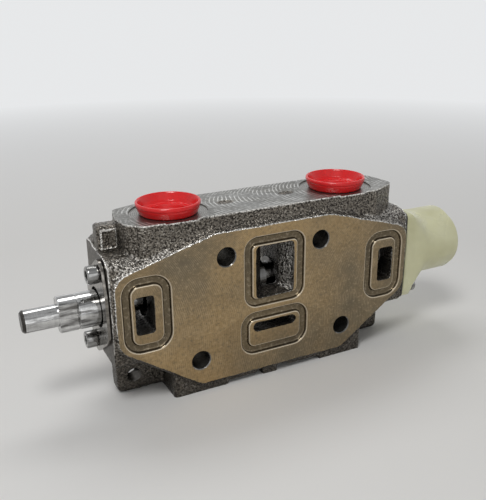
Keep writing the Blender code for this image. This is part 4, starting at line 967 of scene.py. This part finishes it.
    def drill_side(self, casting: bpy.types.Object, side: int) -> None:
        """Machines one port, two tie-rod holes, the lug's tapped hole and the screw hole of one side."""
        radius, depth = self.spotface
        floor = self.pad_top - depth
        over = self.pad_top + 1
        where = at(side * self.port_x, 0, 0)
        seat = [(0, over), (radius, over), (radius, floor), (0, floor)]
        combine(casting, spun(seat, where), Cut.REMOVE, Surface.TURNED)
        combine(casting, spun(self.port_profile(floor), where), Cut.REMOVE, Surface.BORED)
        pit = bmesh.new()
        bmesh.ops.create_uvsphere(pit, u_segments=24, v_segments=16, radius=1.0)
        bmesh.ops.scale(pit, vec=(6.4, 4.2, 1.6), verts=pit.verts)
        bmesh.ops.translate(pit, vec=(side * 20.0, 0.5, self.pad_top + 0.9), verts=pit.verts)
        combine(casting, pit, Cut.REMOVE, Surface.CAST)
        for x, z in self.rod_holes:
            hole = self.rod_hole_profile()
            combine(casting, spun(hole, at(side * x, 0, z) @ ALONG_Y, 64), Cut.REMOVE, Surface.BORED)
        x, z = self.lug_hole
        tapped = self.tapped_profile(4.8, 0.85, 1.25, -3.5, 9.5)
        combine(casting, spun(tapped, at(side * x, 0, z) @ ALONG_Y, 48), Cut.REMOVE, Surface.BORED)
        y, z = (8.3, 22.6) if side < 0 else (-15.5, 22.5)
        for turn in (-1, 1):
            hole = [(0, 80), (3.3, 80), (3.3, 98), (0, 98)]
            place = at(0, turn * y, SPOOL_Z - turn * z) @ (ALONG_X if side > 0 else ALONG_X.inverted())
            combine(casting, spun(hole, place, 32), Cut.REMOVE, Surface.BORED)

    def port_profile(self, floor: float) -> list[Point]:
        """A work port's threaded bore with its chamfer, and the passage down to the gallery."""
        threads = self.tapped_profile(13.5, 0.9, 1.8, 88.0, floor - 1.5)[1:-1]
        return [(0, SPOOL_Z), (7.5, SPOOL_Z), (7.5, 81.5), (13.0, 84.5), (13.0, 88.0), *threads,
                (15.0, floor), (15.0, floor + 0.2), (0, floor + 0.2)]

    @staticmethod
    def tapped_profile(radius: float, depth: float, pitch: float, low: float, high: float) -> list[Point]:
        """The profile of a tapped hole between two heights."""
        profile = [(0.0, low)]
        height = low
        while height + pitch < high:
            profile += [(radius - depth, height), (radius, height + pitch / 2)]
            height += pitch
        return profile + [(radius - depth, height), (radius, high), (0.0, high)]

    @staticmethod
    def rod_hole_profile() -> list[Point]:
        """A tie-rod hole, countersunk a little at both faces."""
        edge, inside, wide, hole = HALF_THICKNESS, HALF_THICKNESS - 0.5, 6.0, 5.5
        return [(0, -edge - 1), (wide, -edge - 1), (wide, -edge), (hole, -inside), (hole, inside), (wide, edge),
                (wide, edge + 1), (0, edge + 1)]

    @staticmethod
    def mark_wear_and_light(casting: bpy.types.Object, reach: float = 1.7) -> None:
        """Writes how near each point is to a machined edge, for edges rubbed bright and painted as highlights, with
        painted light on high edges, shoulders and a window wall; and how far inside a passage, as painted shade.
        """
        bm = bmesh.new()
        bm.from_mesh(casting.data)
        edges = [e for e in bm.edges if len({f.material_index for f in e.link_faces}) > 1]
        rim = {v for e in edges for v in e.verts if max(abs(v.co.x) / 30, abs(v.co.y) / 8) > 1}
        tree = KDTree(len(rim))
        for index, vert in enumerate(rim):
            tree.insert(vert.co, index)
        tree.balance()
        worn_and_lit, painted_shade = [], []
        for vert in bm.verts:
            x, y, z = vert.co
            grooved = any(face.material_index == Surface.GROOVED.value for face in vert.link_faces)
            # painted light: edges painted brighter the higher they stand, as if lit from above; groove lips get the
            # full painted highlight
            lit = 1.0 if grooved else max(0.4, min(1.0, (z - 15) / 40))
            wear_and_light = lit * max(0.0, 1.0 - tree.find(vert.co)[2] / reach)
            cast = all(face.material_index == Surface.CAST.value for face in vert.link_faces)
            # painted light: up-facing cast on the front of the shoulders painted brighter
            if cast and abs(x) > 62 and z > 70 and y < -5 and vert.normal.y < -0.2:
                wear_and_light = max(wear_and_light, min(0.46, vert.normal.z))
            # painted light: the right wall of the centre window painted bright
            if cast and abs(x) < 14 and 50 < z < 85 and 12 < abs(y) < 22.5 and vert.normal.x < -0.2:
                wear_and_light = 0.52
            if -94.0 < x < -82.5 and 87.0 < z < 100.0 and -1.0 < y < -0.45:
                wear_and_light = 0.8
            worn_and_lit.append(wear_and_light)
            # painted shade: darker further inside the passages and in the lug's hole
            starts = 20.5 if abs(x) > 50 else 12.0
            inside = abs(x) < 90 and 25 < z < 86
            in_lug = math.hypot(abs(x) - 81.4, z - 10.4) < 5.0 and y > -8.0
            dark = max(0.0, min(1.0, (starts - abs(y)) / 7)) if inside else 0.8 * in_lug
            # painted shade: the left wall of the centre window painted nearly black
            if cast and abs(x) < 14 and 50 < z < 85 and abs(y) < 22.0 and vert.normal.x > 0.2:
                dark = 1.0
            painted_shade.append(dark)
        bm.free()
        casting.data.attributes.new("wear_and_painted_light", "FLOAT", "POINT").data.foreach_set("value", worn_and_lit)
        casting.data.attributes.new("painted_passage_shade", "FLOAT", "POINT").data.foreach_set("value", painted_shade)

    def build(self, effects: Effects) -> None:
        """Casts, machines and dresses the casting."""
        finishes = (CAST_SKIN, STACKING_FACE, PAD_TOP, SPOTFACE, BORED_WALL, GROOVE_WALL, END_FACE)
        casting = self.raw(len(finishes))
        self.machine(casting)
        self.mark_wear_and_light(casting)
        materials = [finish.make(effects) for finish in finishes]
        placed(casting, materials, Body.SECTION, "cast_iron", "valve_body")


@dataclass
class Spool:
    """The sliding spool, from its bare tip to the spring end."""

    land: float = 10.0
    neck: float = 6.5
    shank: float = 6.2
    tip_x: float = -139.0
    tip_cut: float = 1.0
    tang_x: float = -120.0
    shoulder_x: float = -110.0
    end_x: float = 96.4
    necks: tuple[Point, ...] = ((-82.5, -71.0), (-46.0, -24.0), (1.5, 7.5), (24.0, 46.0), (71.0, 82.5))

    def profile(self) -> list[Point]:
        """The spool's outer line, from tip to end bolt."""
        rim = 0.5
        points = [(0, self.tip_x - self.tip_cut), (self.shank, self.tip_x - self.tip_cut),
                  (self.shank, self.tang_x), (self.land - rim, self.tang_x), (self.land, self.tang_x + rim),
                  (self.land, self.shoulder_x - 0.6), (self.land - 0.35, self.shoulder_x - 0.2),
                  (self.land - 0.35, self.shoulder_x + 0.2), (self.land, self.shoulder_x + 0.6)]
        for low, high in self.necks:
            points += [(self.land, low - 0.15), (self.land - 0.15, low), (self.neck + 0.8, low),
                       (self.neck, low + 0.8), (self.neck, high - 0.8), (self.neck + 0.8, high),
                       (self.land - 0.15, high), (self.land, high + 0.15)]
        bolt_hole, floor = 4.3, self.end_x - 16.0
        return points + [(self.land, self.end_x - 0.6), (self.land - 0.6, self.end_x), (bolt_hole, self.end_x),
                         (bolt_hole, floor), (0, floor)]

    def build(self, effects: Effects) -> None:
        """Turns the spool, cuts off its dark end and mills its tang."""
        spool = as_object("ground_spool", spun(self.profile(), on_spool_axis(), 96))
        for _ in range(2):
            spool.data.materials.append(None)
        for side in (-1, 1):
            near, far = side * self.shank, side * 20.0
            low = (self.tang_x - 1, min(near, far), SPOOL_Z - 20)
            high = (self.shoulder_x, max(near, far), SPOOL_Z + 20)
            combine(spool, block(low, high), Cut.REMOVE)
        tip, skin = self.tip_x, self.shank - 0.06
        cap = [(0, tip - 5), (20, tip - 5), (20, tip + 1.7), (skin, tip + 1.7), (skin, tip + 1.0), (skin - 1.0, tip), (0, tip)]
        combine(spool, spun(cap, on_spool_axis(), 96), Cut.REMOVE, Surface.STACKING)
        # painted shade: the spool darker where it lies inside the bore
        painted_shade = [float(self.shoulder_x + 22 < vertex.co.x < 86) for vertex in spool.data.vertices]
        spool.data.attributes.new("painted_passage_shade", "FLOAT", "POINT").data.foreach_set("value", painted_shade)
        placed(spool, [GROUND_STEEL.make(effects), DARK_STEEL.make(effects)], Body.SPOOL, "polished_steel", "spool")


@dataclass
class CapScrew:
    """A socket-head cap screw that lies along X."""

    name: str
    node: str
    side: int
    y: float
    z: float
    head_x: float
    head: Point = (5.0, 6.0)
    shank: float = 3.0
    socket: Point = (2.9, 3.0)
    grip_x: float = 84.4

    def build(self, steel: bpy.types.Material) -> None:
        """Turns the screw with its rounded head and cuts the hexagon."""
        radius, height = self.head
        top = self.head_x + height
        profile = softened(
            [(0, top), (radius, top), (radius, self.head_x), (self.shank, self.head_x), (self.shank, self.grip_x),
             (0, self.grip_x)], [0.9, 0.3, 0, 0.4])
        turn = ALONG_X if self.side > 0 else Matrix.Rotation(-math.pi / 2, 4, "Y")
        where = at(0, self.y, self.z) @ turn
        screw = as_object(self.name, spun(profile, where, 64))
        across, depth = self.socket
        hexagon = spun([(0, top + 1), (across, top + 1), (across, top - depth), (0, top - depth - 0.8)], where, 6)
        combine(screw, hexagon, Cut.REMOVE)
        dish = spun([(0, top + 1), (across + 1.3, top + 1), (across + 0.3, top), (across - 0.35, top - 0.45),
                     (0, top - 0.45)], where, 48)
        combine(screw, dish, Cut.REMOVE)
        placed(screw, [steel], Body.SECTION, "zinc_plated_steel", self.node)


@dataclass
class SealPlate:
    """The thin plate that keeps the wiper and the left spool seal in."""

    inner_x: float = 96.7
    thickness: float = 1.8
    disc: float = 22.0
    half_depth: float = 18.5
    lobe: float = 7.6
    screw: Point = (8.3, 22.6)

    def outline(self) -> list[Point]:
        """The convex outline round the disc, cut flat at its sides, and the two lobes."""
        points = self.circle((0, 0), self.disc, 96)
        y, z = self.screw
        for side in (-1, 1):
            points += self.circle((-side * y, side * z), self.lobe, 64)
        clipped = {(max(-self.half_depth, min(self.half_depth, u)), v) for u, v in points}
        flat = bmesh.new()
        verts = [flat.verts.new((u, v, 0)) for u, v in clipped]
        found = bmesh.ops.convex_hull(flat, input=verts)
        kept = [item.co.to_2d() for item in found["geom"] if isinstance(item, bmesh.types.BMVert)]
        ordered = sorted(((p.x, p.y) for p in kept), key=lambda p: math.atan2(p[1], p[0]))
        flat.free()
        return ordered

    @staticmethod
    def circle(centre: Point, radius: float, steps: int) -> list[Point]:
        """Points round a circle."""
        turns = [2 * math.pi * step / steps for step in range(steps)]
        return [(centre[0] + radius * math.cos(t), centre[1] + radius * math.sin(t)) for t in turns]

    def build(self, effects: Effects) -> None:
        """Stamps the plate and its three holes."""
        frame_yz = at(0, 0, SPOOL_Z) @ ON_YZ
        outer = -self.inner_x - self.thickness
        plate = as_object("stamped_seal_plate", prism(self.outline(), outer, -self.inner_x, frame_yz, 0.25))
        hole = [(0, outer - 1), (11.5, outer - 1), (11.5, outer), (11.5, 1 - self.inner_x), (0, 1 - self.inner_x)]
        combine(plate, spun(hole, on_spool_axis(), 72), Cut.REMOVE)
        y, z = self.screw
        for side in (-1, 1):
            hole = [(0, outer - 1), (3.3, outer - 1), (3.3, 1 - self.inner_x), (0, 1 - self.inner_x)]
            combine(plate, spun(hole, at(0, -side * y, SPOOL_Z + side * z) @ ALONG_X, 32), Cut.REMOVE)
        placed(plate, [PLATE_STEEL.make(effects)], Body.SECTION, "plate_steel", "spool_seal_plate")


@dataclass
class Bonnet:
    """The nylon spring bonnet: a rectangular flange that flares into a round cap."""

    flange_x: float = 97.8
    half_z: float = 28.4
    flange_drop: float = 1.3
    half_y: float = 20.3
    flange: float = 6.3
    flare: float = 18.0
    barrel: float = 21.5
    lift: float = 1.3
    barrel_length: float = 41.2
    cap: float = 19.2
    length: float = 46.4
    steps: int = 96

    def ring(self, x: float, half_z: float, half_y: float, power: float, shift: float) -> list[Any]:
        """One section of the skin, a superellipse across the spool's axis."""
        points = []
        for step in range(self.steps):
            turn = 2 * math.pi * step / self.steps
            c, s = math.cos(turn), math.sin(turn)
            u = half_z * math.copysign(abs(c) ** (2 / power), c) + shift
            points.append((u, half_y * math.copysign(abs(s) ** (2 / power), s), x))
        return points

    def sections(self) -> list[Any]:
        """All sections from the flange's face to the end cap."""
        drop = self.flange_drop
        rings = [self.ring(self.flange_x, self.half_z - 0.3, self.half_y - 0.3, 8, drop),
                 self.ring(self.flange_x + 0.3, self.half_z, self.half_y, 8, drop)]
        count = 14
        for step in range(count + 1):
            along = step / count
            left = (1 - along) ** 3
            half_z = self.barrel + (self.half_z - self.barrel) * left
            half_y = self.barrel + (self.half_y - self.barrel) * left
            x = self.flange_x + self.flange + self.flare * along
            rings.append(self.ring(x, half_z, half_y, 2 + 6 * left, drop * left - self.lift * (1 - left)))
        end = self.flange_x + self.barrel_length
        for along, shrink in ((-0.2, 0.0), (0.1, 0.25), (0.5, 0.95), (1.0, 1.75), (1.4, 2.2)):
            radius = self.barrel - shrink * (self.barrel - self.cap) / 2.2
            rings.append(self.ring(end + along, radius, radius, 2, -self.lift * (1 - shrink / 2.2)))
        tip, edge = self.flange_x + self.length, 1.8
        for step in range(7):
            turn = math.pi / 2 * step / 6
            radius = self.cap - edge * (1 - math.cos(turn))
            rings.append(self.ring(tip - edge * (1 - math.sin(turn)), radius, radius, 2, 0))
        return rings

    def build(self, effects: Effects) -> None:
        """Moulds the bonnet and hollows it."""
        bonnet = as_object("moulded_spring_bonnet", bridged(self.sections(), on_spool_axis()))
        inner = [(0, 141.8), (11.4, 141.8), (11.4, 128.8), (17.0, 128.8), (17.0, 96.8), (0, 96.8)]
        combine(bonnet, spun(inner, on_spool_axis(), 72), Cut.REMOVE)
        seat = self.flange_x + 7.5
        for side in (-1, 1):
            pocket = [(0, seat + 12), (4.9, seat + 12), (4.8, seat), (3.3, seat), (3.3, 96.8), (0, 96.8)]
            combine(bonnet, spun(pocket, at(0, side * 15.5, SPOOL_Z + side * 22.5) @ ALONG_X, 48), Cut.REMOVE)
        placed(bonnet, [NYLON.make(effects)], Body.SECTION, "natural_nylon", "spring_bonnet")


@dataclass
class CentringSpring:
    """The coil between the two seats, in two lengths that meet in the middle."""

    wire: float = 1.5
    coil: float = 12.6
    closed_pitch: float = 3.225
    open_pitch: float = 4.5375
    start_x: float = 100.3
    middle_x: float = 112.6
    end_x: float = 124.9
    facets: int = 28

    def wound(self, start: float, pitches: Sequence[float]) -> bmesh.types.BMesh:
        """Winds one length of wire.

        Args:
            start: where the wire's middle starts on the spool's axis.
            pitches: how far each turn carries it.

        Returns:
            The closed shape.
        """
        bm = bmesh.new()
        section = at(self.coil, 0, start) @ Matrix.Rotation(math.pi / 2, 4, "X")
        bmesh.ops.create_circle(bm, cap_ends=True, segments=12, radius=self.wire, matrix=section)
        moving = bm.verts[:] + bm.edges[:]
        for pitch in pitches:
            made = bmesh.ops.spin(bm, geom=moving, cent=(0, 0, 0), axis=(0, 0, 1), dvec=(0, 0, pitch / self.facets),
                                  angle=2 * math.pi, steps=self.facets, use_merge=False, use_duplicate=False)
            moving = made["geom_last"]
        bmesh.ops.holes_fill(bm, edges=[edge for edge in bm.edges if edge.is_boundary], sides=12)
        return closed_up(bm, at(0, 0, SPOOL_Z) @ ALONG_X)

    def build(self, effects: Effects) -> None:
        """Winds both lengths and places them on no body."""
        steel = WIRE_STEEL.make(effects)
        lengths = (
            ("spring_inner_length", self.start_x, (self.closed_pitch, self.open_pitch, self.open_pitch), Body.INNER_SEAT),
            ("spring_outer_length", self.middle_x, (self.open_pitch, self.open_pitch, self.closed_pitch), Body.OUTER_SEAT),
        )
        for name, start, pitches, seat in lengths:
            length = placed(as_object(name, self.wound(start, pitches)), [steel], None, "spring_steel", "centring_spring")
            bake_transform(length)


@dataclass
class PortPlug:
    """A red plastic plug: a flared cup on a short hollow shank."""

    name: str
    node: str
    body: Body
    x: float
    base_z: float = 104.5

    def profile(self) -> list[Point]:
        """The plug's section, from the middle of its floor round the rim to the shank."""
        outer = [(0, -1.7), (9.9, -1.7), (10.5, 0.9), (13.8, 0.9), (14.9, 1.9), (16.5, 5.7), (16.9, 6.3), (17.6, 6.3),
                 (18.0, 5.8), (18.0, 4.6), (17.5, 3.9), (17.4, 3.0), (16.3, 0.2), (15.7, -0.4), (12.9, -0.4),
                 (12.9, -10.0), (11.9, -11.0), (10.4, -11.0), (10.4, -3.2), (0, -3.2)]
        radii = [0.5, 0.4, 0.5, 1.0, 0.2, 0.25, 0.3, 0.25, 0.25, 0.2, 0.4, 0.6, 0.25, 0.3, 0.4, 0.3, 0.4, 0.3, 0.8]
        return softened(outer, radii, 4)

    def build(self, plastic: bpy.types.Material) -> None:
        """Turns the plug."""
        plug = as_object(self.name, spun(self.profile(), at(self.x, 0, self.base_z), 128))
        placed(plug, [plastic], self.body, "red_plastic", self.node)


def dress_node(node: str, material: bpy.types.Material) -> None:
    """Gives a kept solid its finish."""
    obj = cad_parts[node]
    obj.data.materials.clear()
    obj.data.materials.append(material)
    LOG.info("%s keeps its solid", node)


@dataclass
class Stage:
    """Floor, lamps and the camera of the photograph."""

    lens: float = 48.35
    eye: tuple[float, float, float] = (-176.5, -332.9, 213.1)
    forward: tuple[float, float, float] = (0.421, 0.837, -0.351)
    up: tuple[float, float, float] = (0.167, 0.309, 0.936)
    room: Colour = (0.8, 0.81, 0.82)

    def camera(self) -> None:
        """Sets the camera where the photograph was taken."""
        data = bpy.data.cameras.new("photo_camera")
        data.sensor_fit = "VERTICAL"
        data.sensor_height = 36.0
        data.lens = self.lens
        data.clip_start = 0.01
        made = bpy.data.objects.new("photo_camera", data)
        bpy.context.scene.collection.objects.link(made)
        back = -Vector(self.forward).normalized()
        right = Vector(self.up).cross(back).normalized()
        over = back.cross(right)
        turn = Matrix((right, over, back)).transposed().to_4x4()
        made.matrix_world = Matrix.Translation(Vector(self.eye) * MM) @ turn
        bpy.context.scene.camera = made

    @staticmethod
    def lamp(name: str, place: Sequence[float], size: Point, power: float, aim: Sequence[float]) -> None:
        """Adds one soft box that faces a point."""
        data = bpy.data.lights.new(name, "AREA")
        data.shape = "RECTANGLE"
        data.size, data.size_y = size
        data.energy = power
        made = bpy.data.objects.new(name, data)
        bpy.context.scene.collection.objects.link(made)
        heading = Vector(aim) - Vector(place)
        made.matrix_world = Matrix.Translation(place) @ heading.to_track_quat("-Z", "Y").to_matrix().to_4x4()

    @staticmethod
    def seen(sheet: Sheet) -> bpy.types.NodeSocket:
        """Tells the rays that show a surface from those that light it."""
        rays = sheet.add("LightPath").outputs
        seen = sheet.math("MAXIMUM", rays["Is Camera Ray"], rays["Is Glossy Ray"])
        return sheet.math("MAXIMUM", seen, rays["Is Transmission Ray"])

    def floor(self) -> None:
        """Lays a wide pale floor under the feet, which fades into the room."""
        bm = bmesh.new()
        bmesh.ops.create_circle(bm, cap_ends=True, segments=96, radius=4.0)
        floor = as_object("floor", bm)
        floor.data.transform(Matrix.Translation((0, 0, -0.0001)))
        made, sheet, shader = new_material("pale_floor")
        set_shader(sheet, shader, {"Base Color": (0.8, 0.79, 0.77), "Roughness": 0.7})
        away = sheet.add("VectorMath", {0: sheet.add("TexCoord").outputs["Object"]}, operation="LENGTH")
        fade = sheet.math("MULTIPLY", sheet.ramp(away.outputs["Value"], 0.3, 1.2), self.seen(sheet))
        room = sheet.add("Emission", {"Color": (*self.room, 1.0)})
        both = sheet.add("MixShader", {0: fade, 1: shader.outputs[0], 2: room.outputs[0]})
        made.node_tree.links.new(both.outputs[0], made.node_tree.nodes["Material Output"].inputs["Surface"])
        floor.data.materials.append(made)
        floor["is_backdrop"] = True

    def world(self) -> None:
        """A pale room: full brightness where it is seen or mirrored, dimmer overhead and as light."""
        world = bpy.data.worlds.new("pale_room")
        world.use_nodes = True
        bpy.context.scene.world = world
        sheet = Sheet(world.node_tree)
        background = world.node_tree.nodes["Background"]
        height = sheet.add("SeparateXYZ", {0: sheet.add("TexCoord").outputs["Generated"]}).outputs["Z"]
        overhead = sheet.ramp(height, 0.25, 0.85, (1.0, 0.5))
        strength = sheet.math("MULTIPLY", sheet.ramp(self.seen(sheet), 0.0, 1.0, (0.4, 1.0)), overhead)
        background.inputs["Color"].default_value = (*self.room, 1.0)
        world.node_tree.links.new(strength, background.inputs["Strength"])

    def build(self) -> None:
        """Sets the whole stage."""
        self.camera()
        self.floor()
        self.world()
        middle = (0.0, 0.0, 0.06)
        self.lamp("window_key", (-0.35, -0.4, 0.9), (0.3, 0.3), 3.8, middle)
        self.lamp("ceiling_panel", (0.1, 0.5, 0.95), (0.8, 0.35), 3.1, middle)
        self.lamp("front_fill", (-0.1, -0.95, 0.35), (0.8, 0.6), 0.8, middle)
        bpy.context.scene.view_settings.view_transform = "Standard"


def main() -> None:
    """Builds every sub-assembly in order."""
    logging.basicConfig(level=logging.INFO, format="%(message)s")
    solids_box = [corner.copy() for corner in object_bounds()]
    effects = Effects()
    Stage().build()
    Casting().build(effects)
    Spool().build(effects)
    SealPlate().build(effects)
    zinc = ZINC_STEEL.make(effects)
    for screw in (
        CapScrew("upper_plate_screw", "seal_plate_screw_upper", -1, -8.3, SPOOL_Z + 22.6, 98.8),
        CapScrew("lower_plate_screw", "seal_plate_screw_lower", -1, 8.3, SPOOL_Z - 22.6, 98.8),
        CapScrew("upper_bonnet_screw", "bonnet_screw_upper", 1, 15.5, SPOOL_Z + 22.5, 105.6, (4.3, 3.2), socket=(2.5, 1.8)),
        CapScrew("lower_bonnet_screw", "bonnet_screw_lower", 1, -15.5, SPOOL_Z - 22.5, 105.6, (4.3, 3.2), socket=(2.5, 1.8)),
    ):
        screw.build(zinc)
    Bonnet().build(effects)
    red = RED_PLASTIC.make(effects)
    PortPlug("left_port_plug", "port_plug_left", Body.PLUG_LEFT, -54.6).build(red)
    PortPlug("right_port_plug", "port_plug_right", Body.PLUG_RIGHT, 54.6).build(red)
    rubber = NITRILE.make(effects)
    for node in ("spool_seal_left", "wiper_ring", "spool_seal_right"):
        dress_node(node, rubber)
    for node in ("spool_seal_washer", "inner_spring_seat", "outer_spring_seat", "spring_guide", "spool_end_bolt"):
        dress_node(node, zinc)
    CentringSpring().build(effects)
    dress_node("bonnet_gasket", FIBRE.make(effects))


if __name__ == "__main__":
    main()
